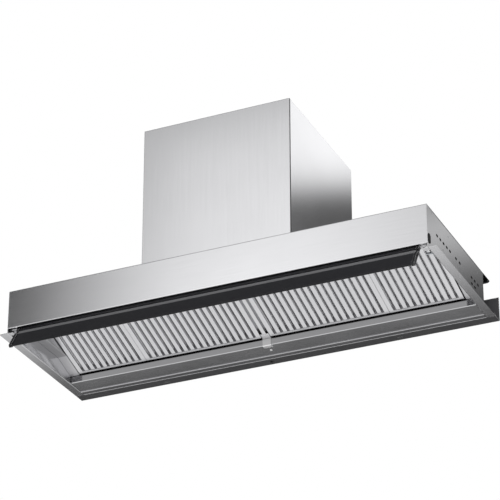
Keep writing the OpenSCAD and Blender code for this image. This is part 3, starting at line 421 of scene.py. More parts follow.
# The trim's grey and its lighter edges are painted light: the light that the visor's upward-facing
# groove band catches.
TRIM_GREY = DarkCoat("visor_groove_grey_painted_light", "5E5E60", "8A8A8C", 0.45, specular=0.4,
                     peel_mm=2.4, bend_mm=0.8)
ZINC = ZincPlate("galvanised_sheet")
NICKEL = BareMetal("nickel_plate", "F4F4F4", 0.65, Grain.ALONG_X)
TURNED_STEEL = BareMetal("turned_steel", "C4C4C6", 0.25, Grain.ALONG_X)
ROLLED_ALUMINIUM = BareMetal("rolled_aluminium", "D9DADC", 0.35, Grain.ALONG_X)
CAST_ALUMINIUM = BareMetal("cast_aluminium", "A2A4A6", 0.5, Grain.ALONG_Z, mark_mm=3.0)
FERRITE = BareMetal("ferrite_magnet", "3B3B3D", 0.55, Grain.ALONG_X)
BLACK_NYLON = MouldedPlastic("black_nylon", "141415", 0.45)
GREY_ABS = MouldedPlastic("grey_abs", "6A6B6D", 0.5)
# The black of the seam seals and strips, the slot liners and the slot plugs is painted shade.
SHADE_BLACK = MouldedPlastic("black_rubber", "0A0A0B", 0.75)
# The pads' black is also painted shade where it shows through the side walls' slots.
BITUMEN = MouldedPlastic("bitumen_felt", "060606", 0.9, grain_mm=3.0)
OPAL = FrostedAcrylic("opal_acrylic")

# How steeply a pan head and a rivet's dome fall to their rims, and how far a pan head does.
PAN_BOW, PAN_FALL, DOME_BOW = 3.0, 0.55, 2.5
# A cross recess's length and a shade liner's corner, as shares of the head's or the shade liner's
# radius.
CROSS_SHARE, CORNER_SHARE = 1.1, 0.499
PAN_SIDES, DOME_SIDES, DOME_STEPS, CORNER_STEPS = 20, 18, 12, 5


def screw_head(tree: Tree, size: Mapping[str, Socket]) -> Node:
    """Draws a pan head with a cross recess, standing on Z = 0.

    Args:
        tree: The geometry tree.
        size: Its sockets Radius, Height and Recess, the width of the cross's arms.

    Returns:
        The head's mesh.
    """
    disc = add_node(tree, "GeometryNodeMeshCylinder", {
        "Vertices": PAN_SIDES, "Side Segments": 1, "Fill Segments": 3,
        "Radius": size["Radius"], "Depth": size["Height"]})
    spot = add_node(tree, "GeometryNodeInputPosition")
    flat = add_node(tree, "ShaderNodeVectorMath", {0: spot, 1: (1.0, 1.0, 0.0)},
                    operation="MULTIPLY")
    reach = add_node(tree, "ShaderNodeVectorMath", {0: flat}, operation="LENGTH")
    share = add_node(tree, "ShaderNodeMath", {0: reach, 1: size["Radius"]}, operation="DIVIDE")
    bow = add_node(tree, "ShaderNodeMath", {0: share, 1: PAN_BOW}, operation="POWER")
    full = add_node(tree, "ShaderNodeMath", {0: bow, 1: size["Height"]}, operation="MULTIPLY")
    fall = add_node(tree, "ShaderNodeMath", {0: full, 1: -PAN_FALL}, operation="MULTIPLY")
    sink = add_node(tree, "ShaderNodeCombineXYZ", {"Z": fall})
    height = add_node(tree, "ShaderNodeSeparateXYZ", {"Vector": spot})
    top = add_node(tree, "FunctionNodeCompare", {0: height.outputs["Z"], 1: 0.0},
                   operation="GREATER_THAN")
    domed = add_node(tree, "GeometryNodeSetPosition", {
        "Geometry": disc, "Selection": top, "Offset": sink})
    long_arm = add_node(tree, "ShaderNodeMath", {0: size["Radius"], 1: CROSS_SHARE},
                        operation="MULTIPLY")
    slots = []
    for first, second in (("X", "Y"), ("Y", "X")):
        edge = add_node(tree, "ShaderNodeCombineXYZ", {
            first: long_arm, second: size["Recess"], "Z": size["Height"]})
        box = add_node(tree, "GeometryNodeMeshCube", {"Size": edge})
        raised = add_node(tree, "ShaderNodeVectorMath", {
            0: edge, 1: (0.0, 0.0, 0.5)}, operation="MULTIPLY")
        slots.append(add_node(tree, "GeometryNodeTransform", {
            "Geometry": box, "Translation": raised}))
    cross = add_node(tree, "GeometryNodeMeshBoolean", operation="UNION")
    for slot in slots:
        tree.links.new(slot.outputs["Geometry"], cross.inputs["Mesh 2"])
    cut = add_node(tree, "GeometryNodeMeshBoolean", {
        "Mesh 1": domed, "Mesh 2": cross}, operation="DIFFERENCE")
    middle = add_node(tree, "ShaderNodeMath", {0: size["Height"], 1: 0.5}, operation="MULTIPLY")
    lift = add_node(tree, "ShaderNodeCombineXYZ", {"Z": middle})
    return add_node(tree, "GeometryNodeTransform", {"Geometry": cut, "Translation": lift})


def rivet_head(tree: Tree, size: Mapping[str, Socket]) -> Node:
    """Draws a blind rivet's domed head with the hole its mandrel leaves, standing on Z = 0.

    Args:
        tree: The geometry tree.
        size: Its sockets Radius, Height and Recess, the width of the hole.

    Returns:
        The head's mesh.
    """
    arc = add_node(tree, "GeometryNodeCurvePrimitiveQuadrilateral", {
        "Width": 1.0, "Height": 1.0}, mode="RECTANGLE")
    spot = add_node(tree, "GeometryNodeInputPosition")
    part = add_node(tree, "ShaderNodeSeparateXYZ", {"Vector": spot})
    fine = add_node(tree, "GeometryNodeResampleCurve", {"Curve": arc, "Count": DOME_STEPS})
    inner = add_node(tree, "ShaderNodeMath", {0: size["Recess"], 1: 0.5}, operation="MULTIPLY")
    along = add_node(tree, "ShaderNodeMapRange", {
        "Value": part.outputs["X"], "To Min": inner, "To Max": size["Radius"], **UNIT_SPAN})
    bow = add_node(tree, "ShaderNodeMath", {0: along, 1: size["Radius"]}, operation="DIVIDE")
    power = add_node(tree, "ShaderNodeMath", {0: bow, 1: DOME_BOW}, operation="POWER")
    # The curve's profile is laid with its Y down, so the dome is drawn below zero.
    fall = add_node(tree, "ShaderNodeMath", {0: power, 1: 1.0}, operation="SUBTRACT")
    full = add_node(tree, "ShaderNodeMath", {0: fall, 1: size["Height"]}, operation="MULTIPLY")
    level = add_node(tree, "ShaderNodeMapRange", {
        "Value": part.outputs["Y"], "To Min": 0.0, "To Max": full, **UNIT_SPAN})
    bent = add_node(tree, "ShaderNodeCombineXYZ", {"X": along, "Y": level})
    section = add_node(tree, "GeometryNodeSetPosition", {"Geometry": fine, "Position": bent})
    # The section brings its own radius, so the ring that it is swept round has next to none.
    ring = add_node(tree, "GeometryNodeCurvePrimitiveCircle", {
        "Resolution": DOME_SIDES, "Radius": MM / 1000})
    return add_node(tree, "GeometryNodeCurveToMesh", {"Curve": ring, "Profile Curve": section})


def slot_shade_liner(tree: Tree, size: Mapping[str, Socket]) -> Node:
    """Draws a black liner in a vent slot, long in X, from Z = 0 down into the slot: painted shade
    for the slot's dark inside.

    Args:
        tree: The geometry tree.
        size: Its sockets Radius, half its length, Height, its depth, and Recess, its wall.

    Returns:
        The liner's mesh.
    """
    length = add_node(tree, "ShaderNodeMath", {0: size["Radius"], 1: 2.0}, operation="MULTIPLY")
    corner = add_node(tree, "ShaderNodeMath", {0: size["Radius"], 1: CORNER_SHARE},
                      operation="MULTIPLY")
    path = add_node(tree, "GeometryNodeCurvePrimitiveQuadrilateral", {
        "Width": length, "Height": size["Radius"]}, mode="RECTANGLE")
    rounded = add_node(tree, "GeometryNodeFilletCurve", {
        "Curve": path, "Radius": corner, "Limit Radius": True, "Count": CORNER_STEPS}, mode="POLY")
    wall = add_node(tree, "GeometryNodeCurvePrimitiveQuadrilateral", {
        "Width": size["Recess"], "Height": size["Height"]}, mode="RECTANGLE")
    ring = add_node(tree, "GeometryNodeCurveToMesh", {"Curve": rounded, "Profile Curve": wall})
    depth = add_node(tree, "ShaderNodeMath", {0: size["Height"], 1: -0.5}, operation="MULTIPLY")
    sunk = add_node(tree, "ShaderNodeCombineXYZ", {"Z": depth})
    return add_node(tree, "GeometryNodeTransform", {"Geometry": ring, "Translation": sunk})


def turn_out(shape: Shape, mesh: bpy.types.Mesh) -> None:
    """Turns a shape's faces outward, writes it into a mesh and frees it.

    Args:
        shape: What was drawn or read.
        mesh: The mesh that takes it.
    """
    bmesh.ops.recalc_face_normals(shape, faces=shape.faces[:])
    shape.to_mesh(mesh)
    shape.free()


def add_piece(name: str, mesh: bpy.types.Mesh) -> None:
    """Makes a finished mesh a piece that stays on the canopy.

    Args:
        name: The piece's name.
        mesh: Its mesh, at its place.
    """
    piece = bpy.data.objects.new(name, mesh)
    bpy.context.scene.collection.objects.link(piece)
    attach(piece, "canopy")
    LOG.info("%s: %d faces", name, len(mesh.polygons))


def add_shape(name: str, shape: Shape, material: Material) -> None:
    """Makes a drawn shape a piece that stays on the canopy.

    Args:
        name: The piece's name.
        shape: What was drawn, which is freed.
        material: Its finish.
    """
    mesh = bpy.data.meshes.new(name)
    turn_out(shape, mesh)
    mesh.materials.append(material)
    add_piece(name, mesh)


@dataclass(frozen=True)
class HeadSize:
    """How large a small fastener is, in mm. Its recess is its cross, its hole or its wall."""

    radius: float
    height: float
    recess: float


@dataclass
class Fasteners:
    """One kind of small fastener, drawn once and set at every place by Geometry Nodes."""

    name: str
    places: Sequence[Place]
    axis: Axis
    draw: Callable[[Tree, Mapping[str, Socket]], Node]
    size: HeadSize
    slot: str
    seed: int = 3
    turned: bool = True

    def carrier(self) -> bpy.types.Object:
        """Makes the object whose points are the fasteners' places."""
        mesh = bpy.data.meshes.new(self.name + "_places")
        mesh.from_pydata([tuple(place) for place in self.places], [], [])
        carrier = bpy.data.objects.new(self.name + "_carrier", mesh)
        bpy.context.scene.collection.objects.link(carrier)
        return carrier

    def build(self, material: Material) -> None:
        """Builds the tree, turns its result into one plain mesh and puts it on the canopy.

        Args:
            material: The fasteners' finish.
        """
        carrier = self.carrier()
        tree = bpy.data.node_groups.new(self.name + "_tree", "GeometryNodeTree")
        values = {"Radius": self.size.radius * MM, "Height": self.size.height * MM,
                  "Recess": self.size.recess * MM, "Seed": self.seed,
                  "Turn": tuple(Vector(self.axis.value).to_track_quat("Z", "Y").to_euler())}
        kinds = {"Places": "Geometry", "Radius": "Float", "Height": "Float", "Recess": "Float",
                 "Turn": "Vector", "Seed": "Int"}
        keys = {name: tree.interface.new_socket(
            name, in_out="INPUT", socket_type=f"NodeSocket{kind}").identifier
            for name, kind in kinds.items()}
        tree.interface.new_socket("Fasteners", in_out="OUTPUT", socket_type="NodeSocketGeometry")
        start = add_node(tree, "NodeGroupInput")
        item = self.draw(tree, start.outputs)
        # Each one is left at its own angle by the driver, unless it sits in a slot.
        angle = add_node(tree, "FunctionNodeRandomValue", {
            "Min": (0.0, 0.0, 0.0), "Max": (0.0, 0.0, math.pi if self.turned else 0.0),
            "Seed": start.outputs["Seed"]}, data_type="FLOAT_VECTOR")
        copies = add_node(tree, "GeometryNodeInstanceOnPoints", {
            "Points": start.outputs["Places"], "Instance": item,
            "Rotation": start.outputs["Turn"]})
        spun = add_node(tree, "GeometryNodeRotateInstances", {
            "Instances": copies, "Rotation": angle, "Local Space": True})
        real = add_node(tree, "GeometryNodeRealizeInstances", {"Geometry": spun})
        dressed = add_node(tree, "GeometryNodeSetMaterial", {
            "Geometry": real, "Material": material})
        add_node(tree, "NodeGroupOutput", {"Fasteners": dressed})
        modifier = carrier.modifiers.new("fasteners", "NODES")
        modifier.node_group = tree
        for name, value in values.items():
            modifier[keys[name]] = value
        add_piece(self.name, self.plain(carrier))

    def plain(self, carrier: bpy.types.Object) -> bpy.types.Mesh:
        """Turns the carrier's result into a plain mesh.

        Args:
            carrier: The object with the modifier; both are removed.

        Returns:
            The mesh, with its material.
        """
        graph = bpy.context.evaluated_depsgraph_get()
        mesh = bpy.data.meshes.new_from_object(carrier.evaluated_get(graph))
        carrier.modifiers.clear()
        bpy.data.objects.remove(carrier)
        shape = bmesh.new()
        shape.from_mesh(mesh)
        turn_out(shape, mesh)
        mesh.name = self.name
        return mesh


def block(size: Vector, middle: Vector) -> Shape:
    """Draws a plain block.

    Args:
        size: Its size along X, Y and Z.
        middle: The place of its middle.

    Returns:
        The shape.
    """
    shape = bmesh.new()
    bmesh.ops.create_cube(shape, size=1.0)
    for vertex in shape.verts:
        vertex.co = Vector(a * b for a, b in zip(vertex.co, size)) + middle
    return shape


def evenly(first: float, last: float, count: int) -> list[float]:
    """Spreads places between two ends.

    Args:
        first: The first place.
        last: The last place.
        count: How many, two or more.

    Returns:
        The places, ends included.
    """
    return [first + (last - first) * i / (count - 1) for i in range(count)]


@dataclass(frozen=True)
class SlotRow:
    """A row of round-ended slots in a side wall, in mm from the hood's front edge."""

    start: float
    pitch: float
    count: int
    height: float

    def places(self, x: float, front: float) -> list[Place]:
        """Finds the middles of the slots.

        Args:
            x: Where the wall's outer face is, in metres.
            front: Where the hood's front edge is, in metres.

        Returns:
            The places, in metres.
        """
        return [(x, front + (self.start + i * self.pitch) * MM, self.height * MM)
                for i in range(self.count)]


@dataclass(frozen=True)
class FoldedStrip:
    """A thin strip that runs along X, in mm: half its length, its wall, its line (Y, Z)."""

    half: float
    thick: float
    line: Sequence[tuple[float, float]]

    def draw(self) -> Shape:
        """Draws the strip, the same to both sides of the middle."""
        shape = bmesh.new()
        rings = []
        for x in (-self.half, self.half):
            lower = [shape.verts.new((x * MM, y * MM, z * MM)) for y, z in self.line]
            upper = [shape.verts.new((x * MM, y * MM, (z + self.thick) * MM))
                     for y, z in self.line]
            rings.append(lower + upper[::-1])
        for ring in rings:
            shape.faces.new(ring)
        count = len(rings[0])
        for i in range(count):
            j = (i + 1) % count
            shape.faces.new((rings[0][i], rings[0][j], rings[1][j], rings[1][i]))
        return shape


@dataclass
class Assembly:
    """A sub-assembly of the hood: it dresses its CAD nodes and may add small pieces."""

    finishes: Finishes

    def dress(self) -> None:
        """Gives the CAD nodes their finishes."""
        raise NotImplementedError

    def build(self) -> None:
        """Adds the small pieces, where a sub-assembly has some."""


@dataclass
class Canopy(Assembly):
    """The wide box: its sheets, flanges, ledge, channels and small fasteners."""

    front: float = -474.0 * MM
    rivet: HeadSize = HeadSize(3.2, 1.1, 1.6)
    rivet_edge: float = 7.0 * MM
    rivet_start: float = 28.0 * MM
    rivets_across: int = 9
    rivets_deep: int = 4
    shade_liner_size: HeadSize = HeadSize(5.9, 1.4, 1.0)
    shade_liner_x: float = 600.15 * MM
    slot_rows: Sequence[SlotRow] = (
        SlotRow(72.0, 23.5, 5, 22.0), SlotRow(210.0, 28.0, 2, 22.0), SlotRow(328.0, 24.0, 3, 22.0),
        SlotRow(328.0, 24.0, 2, 4.0))
    ledge_screw: HeadSize = HeadSize(3.8, 1.6, 1.0)
    ledge_screw_at: Place = (-1.5 * MM, -83.6 * MM, -43.0 * MM)
    hem: FoldedStrip = FoldedStrip(600.0, 0.5, (
        (-37.6, -45.1), (-37.2, -45.5), (-36.0, -45.5), (-35.6, -45.1)))
    clip: FoldedStrip = FoldedStrip(12.0, 0.8, ((-134.0, -17.3), (-118.6, -22.0), (-118.1, -24.0)))
    pad_lift: float = 1.4 * MM
    pad_thick: float = 2.0 * MM
    pad_height: float = 66.0 * MM
    pad_drop: float = 4.0 * MM
    pad_front: float = 12.0 * MM
    pad_short: float = 8.0 * MM
    pad_round: float = 0.5 * MM
    shade_plug_at: Place = (600.7 * MM, -461.4 * MM, -14.0 * MM)
    shade_plug_size: Place = (1.4 * MM, 15.0 * MM, 26.0 * MM)
    shade_plug_round: float = 3.0 * MM

    def dress(self) -> None:
        """Gives each sheet its brushed finish, and the trim its own."""
        # The rear wall's, the ledge's and the channels' darker steel is painted shade.
        self.finishes.paint({
            "fascia": STEEL_ACROSS, "top_plate": STEEL_ACROSS, "rear_wall": REAR_STEEL,
            "rear_ledge": LEDGE_STEEL, "left_side_wall": WALL_STEEL,
            "right_side_wall": WALL_STEEL, "left_side_channel": CHANNEL_STEEL,
            "right_side_channel": CHANNEL_STEEL, "lamp_panel": STEEL_ACROSS,
            "filter_rod": TURNED_STEEL, "canopy_rivets": TURNED_STEEL, "canopy_screws": BLACK_COAT,
            "left_visor_bracket": BLACK_COAT, "right_visor_bracket": BLACK_COAT,
            "visor_stops": ZINC, "filter_magnets": FERRITE, "lamp_board": ROLLED_ALUMINIUM,
            "lamp_lens": OPAL, "wall_strip": STRIP_COAT, "wall_rail": BLACK_COAT})

    def build(self) -> None:
        """Adds the pads, the plugs and slot liners, which are painted shade, the ledge's screw and
        strips, the rivets.
        """
        for name, side, outward in (("left", -1, Axis.MINUS_X), ("right", 1, Axis.PLUS_X)):
            self.pad(name, side)
            self.shade_plug(name, side)
            # The black slot liners are painted shade in the side walls' vent slots.
            slots = [place for row in self.slot_rows
                     for place in row.places(side * self.shade_liner_x, self.front)]
            Fasteners(f"{name}_slot_shade_liners", slots, outward, slot_shade_liner, self.shade_liner_size,
                      "black_plastic", turned=False).build(self.finishes.get(SHADE_BLACK))
        Fasteners("ledge_screw", [self.ledge_screw_at], Axis.MINUS_Z, screw_head,
                  self.ledge_screw, "galvanised").build(self.finishes.get(NICKEL))
        add_shape("rear_flange_hem", self.hem.draw(), self.finishes.get(LEDGE_STEEL))
        add_shape("centre_rail_clip", self.clip.draw(), self.finishes.get(SLAT_STEEL))
        Fasteners("top_plate_rivets", self.rivet_places(), Axis.PLUS_Z, rivet_head, self.rivet,
                  "canopy_steel").build(self.finishes.get(TURNED_STEEL))

    def rivet_places(self) -> list[Place]:
        """Finds the places of the rivets that join the top plate to the folds under it."""
        low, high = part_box("top_plate")
        side, back = high[0] - self.rivet_edge, high[1] - self.rivet_edge
        places = [(x, y, high[2]) for x in (-side, side)
                  for y in evenly(low[1] + self.rivet_start, high[1] - self.rivet_start,
                                  self.rivets_deep)]
        places += [(x, back, high[2]) for x in evenly(
            -side + self.rivet_start, side - self.rivet_start, self.rivets_across)]
        return places

    def pad(self, name: str, side: int) -> None:
        """Sticks a bitumen damping pad on the hidden face of a channel's web; its black, seen
        through the side wall's slots, is also painted shade.

        Args:
            name: Left or right.
            side: The sign of X on that side.
        """
        low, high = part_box("right_side_channel")
        near = low[0] + self.pad_lift
        length = high[1] - low[1] + self.pad_front - self.pad_short
        size = Vector((self.pad_thick, length, self.pad_height))
        middle = Vector((side * (near + size.x / 2), low[1] - self.pad_front + size.y / 2,
                         high[2] - self.pad_drop - size.z / 2))
        shape = block(size, middle)
        bmesh.ops.bevel(shape, geom=shape.edges[:], offset=self.pad_round, segments=2,
                        affect="EDGES")
        add_shape(f"{name}_damping_and_shade_pad", shape, self.finishes.get(BITUMEN))

    def shade_plug(self, name: str, side: int) -> None:
        """Sets a black piece over the tall slot near the front of a side wall: painted shade for
        the slot's dark opening.

        Args:
            name: Left or right.
            side: The sign of X on that side.
        """
        shape = block(Vector(self.shade_plug_size), Vector(self.shade_plug_at))
        for vertex in shape.verts:
            vertex.co.x *= side
        through = [edge for edge in shape.edges
                   if abs(edge.verts[0].co.x - edge.verts[1].co.x) > self.shade_plug_size[0] / 2]
        bmesh.ops.bevel(shape, geom=through, offset=self.shade_plug_round, segments=4, affect="EDGES")
        add_shape(f"{name}_slot_shade_plug", shape, self.finishes.get(SHADE_BLACK))


@dataclass
class Chimney(Assembly):
    """The square chimney, its seals, whose black is painted shade in the seams, and the bracket
    behind it.
    """

    sheet: float = 1.2 * MM
    seam_shade_width: float = 4.6 * MM
    seam_shade_thick: float = 0.6 * MM

    def dress(self) -> None:
        """Gives the chimney its upright brushing."""
        # The seals' black is painted shade in the seams between the front and the sides.
        self.finishes.paint({
            "chimney_front": STEEL_UPRIGHT, "chimney_left_side": STEEL_UPRIGHT,
            "chimney_right_side": STEEL_UPRIGHT, "chimney_wall_bracket": ZINC,
            "chimney_screws": TURNED_STEEL, "chimney_seals": SHADE_BLACK})

    def build(self) -> None:
        """Lays a black strip over each seam between the front and a side: painted shade in the
        seam.
        """
        low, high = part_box("chimney_front")
        size = Vector((self.seam_shade_thick, self.seam_shade_width, high[2] - low[2]))
        for name, side in (("left", -1), ("right", 1)):
            middle = Vector((side * high[0], low[1] + self.sheet + size.y / 2,
                             (low[2] + high[2]) / 2))
            add_shape(f"{name}_seam_shade_strip", block(size, middle), self.finishes.get(SHADE_BLACK))


@dataclass
class FilterBank(Assembly):
    """Four baffle filters and the rail between the halves."""

    names: Sequence[str] = ("left_outer_filter", "left_inner_filter", "right_inner_filter",
                            "right_outer_filter")

    def dress(self) -> None:
        """Gives frames and baffles their finish."""
        for name in self.names:
            self.finishes.paint({f"{name}_frame": SLAT_STEEL, f"{name}_front_baffles": SLAT_STEEL,
                                 f"{name}_rear_baffles": BAFFLE_STEEL})
        # The centre tab's near-white steel is a painted highlight.
        self.finishes.paint({"centre_rail": SLAT_STEEL, "centre_tab": BRIGHT_STEEL})


@dataclass
class Visor(Assembly):
    """The swing-out visor with its caps and pins."""

    def dress(self) -> None:
        """Gives the visor its black finish."""
        # The trim's grey is painted light on the groove band, and the caps' pale rims are a
        # painted highlight.
        self.finishes.paint({
            "visor_blade": VISOR_COAT, "visor_trim": TRIM_GREY, "visor_left_cap": CAP_NYLON,
            "visor_right_cap": CAP_NYLON, "visor_left_pin": TURNED_STEEL,
            "visor_right_pin": TURNED_STEEL})


@dataclass
class Blower(Assembly):
    """The blower in the chimney, its collar, its flaps and its control box."""

    lid_edge: float = 6.0 * MM
    lid_screw: HeadSize = HeadSize(3.0, 1.8, 0.9)
    lid_seed: int = 5
    collar_edge: float = 5.0 * MM
    collar_flange: float = 2.0 * MM
    collar_screw: HeadSize = HeadSize(3.4, 2.0, 1.0)
    collar_screws: int = 6

    def dress(self) -> None:
        """Gives the blower's pieces their finishes."""
        self.finishes.paint({
            "blower_box": ZINC, "blower_housing": ZINC, "motor_mount": ZINC,
            "motor": CAST_ALUMINIUM, "duct_collar": GREY_ABS, "flap_axle": TURNED_STEEL,
            "control_box": GREY_ABS, "cable_gland": BLACK_NYLON, "impeller": BLACK_NYLON,
            "impeller_shaft": TURNED_STEEL, "left_flap": ROLLED_ALUMINIUM,
            "right_flap": ROLLED_ALUMINIUM})

    def build(self) -> None:
        """Sets the screws of the duct collar and of the control box's lid."""
        steel = self.finishes.get(TURNED_STEEL)
        low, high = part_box("duct_collar")
        middle = [(a + b) / 2 for a, b in zip(low, high)]
        ring = (high[0] - low[0]) / 2 - self.collar_edge
        turns = [2 * math.pi * (i + 0.5) / self.collar_screws for i in range(self.collar_screws)]
        places = [(middle[0] + ring * math.cos(a), middle[1] + ring * math.sin(a),
                   low[2] + self.collar_flange) for a in turns]
        Fasteners("collar_screws", places, Axis.PLUS_Z, screw_head, self.collar_screw,
                  "galvanised").build(steel)
        low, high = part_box("control_box")
        places = [(x, y, high[2]) for x in (low[0] + self.lid_edge, high[0] - self.lid_edge)
                  for y in (low[1] + self.lid_edge, high[1] - self.lid_edge)]
        Fasteners("lid_screws", places, Axis.PLUS_Z, screw_head, self.lid_screw, "galvanised",
                  self.lid_seed).build(steel)


@dataclass(frozen=True)
class Card:
    """A shaded reflector that only metal sees, as a studio hangs round a product.

    It is a flat board. Its shades are pairs of a place along it, in metres, and a
    brightness, and ``fade`` says how much of that is left at its far long edge.
    """

    name: str
    corner: Place
    along: Place
    across: Place
    shades: Sequence[tuple[float, float]]
    fade: float = 1.0
    one_sided: bool = False


CARDS = (
    # The fascia's and the chimney front's shading, and the chimney's darker top.
    Card("front_card", (-3.2, -2.2, -0.4), (4.8, 0.0, 0.0), (0.0, 0.0, 3.2), (
        (0.0, 0.07), (1.45, 0.09), (1.60, 0.18), (1.70, 0.34), (1.85, 0.71), (2.0, 1.12),
        (2.2, 1.52), (2.45, 1.76), (2.70, 1.74), (2.95, 1.56), (3.15, 1.28), (3.6, 1.13),
        (4.8, 1.13)), 0.3),
    Card("chimney_flag", (-1.35, -2.0, 1.46), (1.10, 0.0, 0.0), (0.0, 0.0, 0.50), (
        (0.0, 0.56), (1.10, 0.76)), 0.75),
    # The right sides of the chimney and of the box, dark below and bright above.
    Card("chimney_side_card", (0.28, 0.32, 0.245), (-0.294, 0.0, 1.44), (0.686, 0.0, 0.14), (
        (0.0, 0.11), (0.286, 0.12), (0.326, 0.19), (0.356, 0.38), (0.386, 0.70),
        (0.416, 0.98), (0.456, 1.20), (0.516, 1.32), (1.47, 1.34))),
    Card("wall_side_card", (0.61, 0.3, -0.2), (0.0, 0.0, 1.2), (1.0, 0.0, 0.0), (
        (0.0, 0.05), (0.35, 0.07), (0.45, 0.14), (0.52, 0.30), (0.60, 0.60), (0.66, 0.58),
        (0.72, 0.40), (1.2, 0.36))),
    # What the flanges and the other undersides mirror.
    Card("under_card", (-3.0, 0.0, -0.6), (0.0, 3.0, 0.0), (5.0, 0.0, 0.0), (
        (0.0, 0.82), (0.20, 0.82), (0.30, 0.78), (0.42, 0.69), (0.55, 0.57), (0.70, 0.39),
        (0.82, 0.22), (0.95, 0.085), (1.1, 0.055), (3.0, 0.04)), 1.4),
    # The dark of the room, over, behind and beside the hood.
    Card("top_card", (-1.8, -1.1, 1.3), (0.0, 1.25, 0.0), (3.0, 0.0, 0.0), (
        (0.0, 0.15), (1.25, 0.15))),
    Card("rear_top_card", (-3.0, 0.35, 2.2), (0.0, 3.0, 0.0), (6.0, 0.0, 0.0), (
        (0.0, 0.12), (3.0, 0.12))),
    Card("left_card", (-2.6, 0.0, -0.2), (0.0, 3.0, 0.0), (0.0, 0.0, 2.6), (
        (0.0, 0.25), (3.0, 0.25))),
    # The grey of the filters' rear edges, as the ledge's front mirrors it.
    Card("ledge_card", (-0.57, -0.128, 0.004), (1.14, 0.0, 0.0), (0.0, 0.0, -0.050), (
        (0.0, 0.47), (1.14, 0.47)), 1.0, True),
)


def only_front(tree: Tree, shader: Node) -> Node:
    """Lets the eye through a board from its back.

    Args:
        tree: The board's material tree.
        shader: What its front shows.

    Returns:
        The shader for both sides.
    """
    clear = add_node(tree, "ShaderNodeBsdfTransparent", {"Color": WHITE})
    back = add_node(tree, "ShaderNodeNewGeometry").outputs["Backfacing"]
    return add_node(tree, "ShaderNodeMixShader", {0: back, 1: shader, 2: clear})


def eye_or_metal(tree: Tree) -> Node:
    """Tells a ray of the camera or of a mirroring surface from a ray that lights.

    Args:
        tree: The shader tree.

    Returns:
        One for the eye and for metal, zero for light.
    """
    path = add_node(tree, "ShaderNodeLightPath")
    return add_node(tree, "ShaderNodeMath", {
        0: path.outputs["Is Camera Ray"], 1: path.outputs["Is Glossy Ray"]}, operation="MAXIMUM")


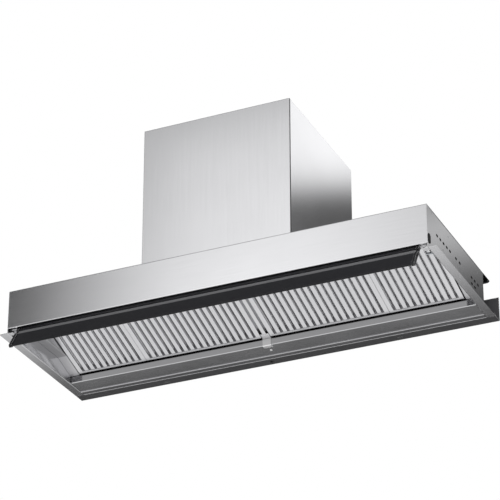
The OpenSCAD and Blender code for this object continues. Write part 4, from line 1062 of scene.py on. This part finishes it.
@dataclass
class Studio:
    """Floor, light, reflector cards and the camera at the photograph's angle."""

    azimuth_deg: float = 24.603
    elevation_deg: float = -27.49
    distance_m: float = 6.716
    lens_mm: float = 180.0
    sensor_mm: float = 36.0
    target: Place = (0.0, -0.274, 0.155)
    aside_m: float = 0.01966
    above_m: float = 0.01518
    floor_z: float = -3.3
    floor_half: float = 14.0
    world_light: float = 0.55
    key_at: Place = (1.6, -3.2, 1.8)
    key_aim: Place = (0.0, -0.3, 0.1)
    key_side: float = 2.4
    key_watts: float = 90.0

    def camera(self) -> None:
        """Places the camera below and in front of the hood, to its right."""
        azimuth, elevation = math.radians(self.azimuth_deg), math.radians(self.elevation_deg)
        out = Vector((math.sin(azimuth) * math.cos(elevation),
                      -math.cos(azimuth) * math.cos(elevation), math.sin(elevation)))
        target = Vector(self.target)
        place = target + out * self.distance_m
        side = (-out).cross(Vector((0, 0, 1))).normalized()
        over = side.cross(-out)
        aim = target + side * self.aside_m + over * self.above_m
        data = bpy.data.cameras.new("photo_camera")
        data.lens = self.lens_mm
        data.sensor_width = self.sensor_mm
        camera = bpy.data.objects.new("photo_camera", data)
        camera.location = place
        camera.rotation_euler = (aim - place).to_track_quat("-Z", "Y").to_euler()
        bpy.context.scene.collection.objects.link(camera)
        bpy.context.scene.camera = camera
        LOG.info("camera at %s", tuple(round(v, 3) for v in place))

    def board(self, name: str, corner: Place, along: Place, across: Place,
              material: Material) -> bpy.types.Object:
        """Makes a flat four-cornered piece of the stage.

        Args:
            name: Its name.
            corner: One corner.
            along: From there to the next corner.
            across: From there to the corner on the other side.
            material: What it shows.

        Returns:
            The board.
        """
        start, first, second = Vector(corner), Vector(along), Vector(across)
        mesh = bpy.data.meshes.new(name)
        mesh.from_pydata([start, start + first, start + first + second, start + second],
                         [], [(0, 1, 2, 3)])
        mesh.materials.append(material)
        board = bpy.data.objects.new(name, mesh)
        bpy.context.scene.collection.objects.link(board)
        return board

    def floor(self) -> None:
        """Lays a plain pale floor well below the camera, white to the eye and to metal."""
        material, tree = new_material("pale_floor")
        paint = add_node(tree, "ShaderNodeBsdfDiffuse", {"Color": linear("F4F4F4")})
        white = add_node(tree, "ShaderNodeEmission", {"Color": WHITE, "Strength": 1.0})
        mix = add_node(tree, "ShaderNodeMixShader", {0: eye_or_metal(tree), 1: paint, 2: white})
        # The hood can be looked at from under the floor too.
        add_node(tree, "ShaderNodeOutputMaterial", {"Surface": only_front(tree, mix)})
        half = self.floor_half
        self.board("floor", (-half, -half, self.floor_z), (2 * half, 0.0, 0.0),
                   (0.0, 2 * half, 0.0), material)

    def world(self) -> None:
        """Makes the surround: white to the eye and to metal, and softer as light."""
        world = bpy.data.worlds.new("white_studio")
        bpy.context.scene.world = world
        world.use_nodes = True
        tree = world.node_tree
        tree.nodes.clear()
        strength = add_node(tree, "ShaderNodeMapRange", {
            "Value": eye_or_metal(tree), "To Min": self.world_light, "To Max": 1.0})
        glow = add_node(tree, "ShaderNodeBackground", {"Color": WHITE, "Strength": strength})
        add_node(tree, "ShaderNodeOutputWorld", {"Surface": glow})

    def card(self, card: Card) -> None:
        """Hangs one shaded card.

        Args:
            card: Its place, size and shades.
        """
        material, tree = new_material(card.name)
        place = add_node(tree, "ShaderNodeTexCoord").outputs["Object"]
        corner = add_node(tree, "ShaderNodeVectorMath", {0: place, 1: card.corner},
                          operation="SUBTRACT")
        shares = []
        for side in (card.along, card.across):
            reach = Vector(side)
            shares.append(add_node(tree, "ShaderNodeVectorMath", {
                0: corner, 1: tuple(reach / reach.length_squared)}, operation="DOT_PRODUCT"))
        length, top = Vector(card.along).length, max(shade for _, shade in card.shades)
        ramp = add_node(tree, "ShaderNodeValToRGB", {"Fac": shares[0]})
        steps = ramp.color_ramp
        steps.interpolation = "B_SPLINE"
        # A new ramp has two steps already.
        for _ in range(len(card.shades) - 2):
            steps.elements.new(0.5)
        for step, (at, shade) in zip(steps.elements, card.shades):
            step.position = at / length
            step.color = (shade / top,) * 3 + (1.0,)
        fade = add_node(tree, "ShaderNodeMapRange", {
            "Value": shares[1], "To Min": top, "To Max": top * card.fade})
        glow = add_node(tree, "ShaderNodeEmission", {"Color": ramp, "Strength": fade})
        shown = only_front(tree, glow) if card.one_sided else glow
        add_node(tree, "ShaderNodeOutputMaterial", {"Surface": shown})
        panel = self.board(card.name, card.corner, card.along, card.across, material)
        for ray in ("camera", "diffuse", "transmission", "volume_scatter", "shadow"):
            setattr(panel, f"visible_{ray}", False)

    def key_light(self) -> None:
        """Hangs one soft lamp in front, above and to the right, which metal doesn't show."""
        data = bpy.data.lights.new("key_softbox", "AREA")
        data.shape = "SQUARE"
        data.size = self.key_side
        data.energy = self.key_watts
        lamp = bpy.data.objects.new("key_softbox", data)
        lamp.location = self.key_at
        way = Vector(self.key_aim) - Vector(self.key_at)
        lamp.rotation_euler = way.to_track_quat("-Z", "Y").to_euler()
        lamp.visible_glossy = False
        bpy.context.scene.collection.objects.link(lamp)

    def build(self) -> None:
        """Sets up the whole studio."""
        bpy.context.scene.view_settings.view_transform = "Standard"
        self.camera()
        self.floor()
        self.world()
        for card in CARDS:
            self.card(card)
        self.key_light()
        LOG.info("studio built")


def main() -> None:
    """Dresses the hood and sets up the studio, in order."""
    logging.basicConfig(level=logging.INFO)
    finishes = Finishes()
    for kind in (Canopy, Chimney, FilterBank, Visor, Blower):
        assembly = kind(finishes)
        assembly.dress()
        assembly.build()
    Studio().build()


if __name__ == "__main__":
    main()
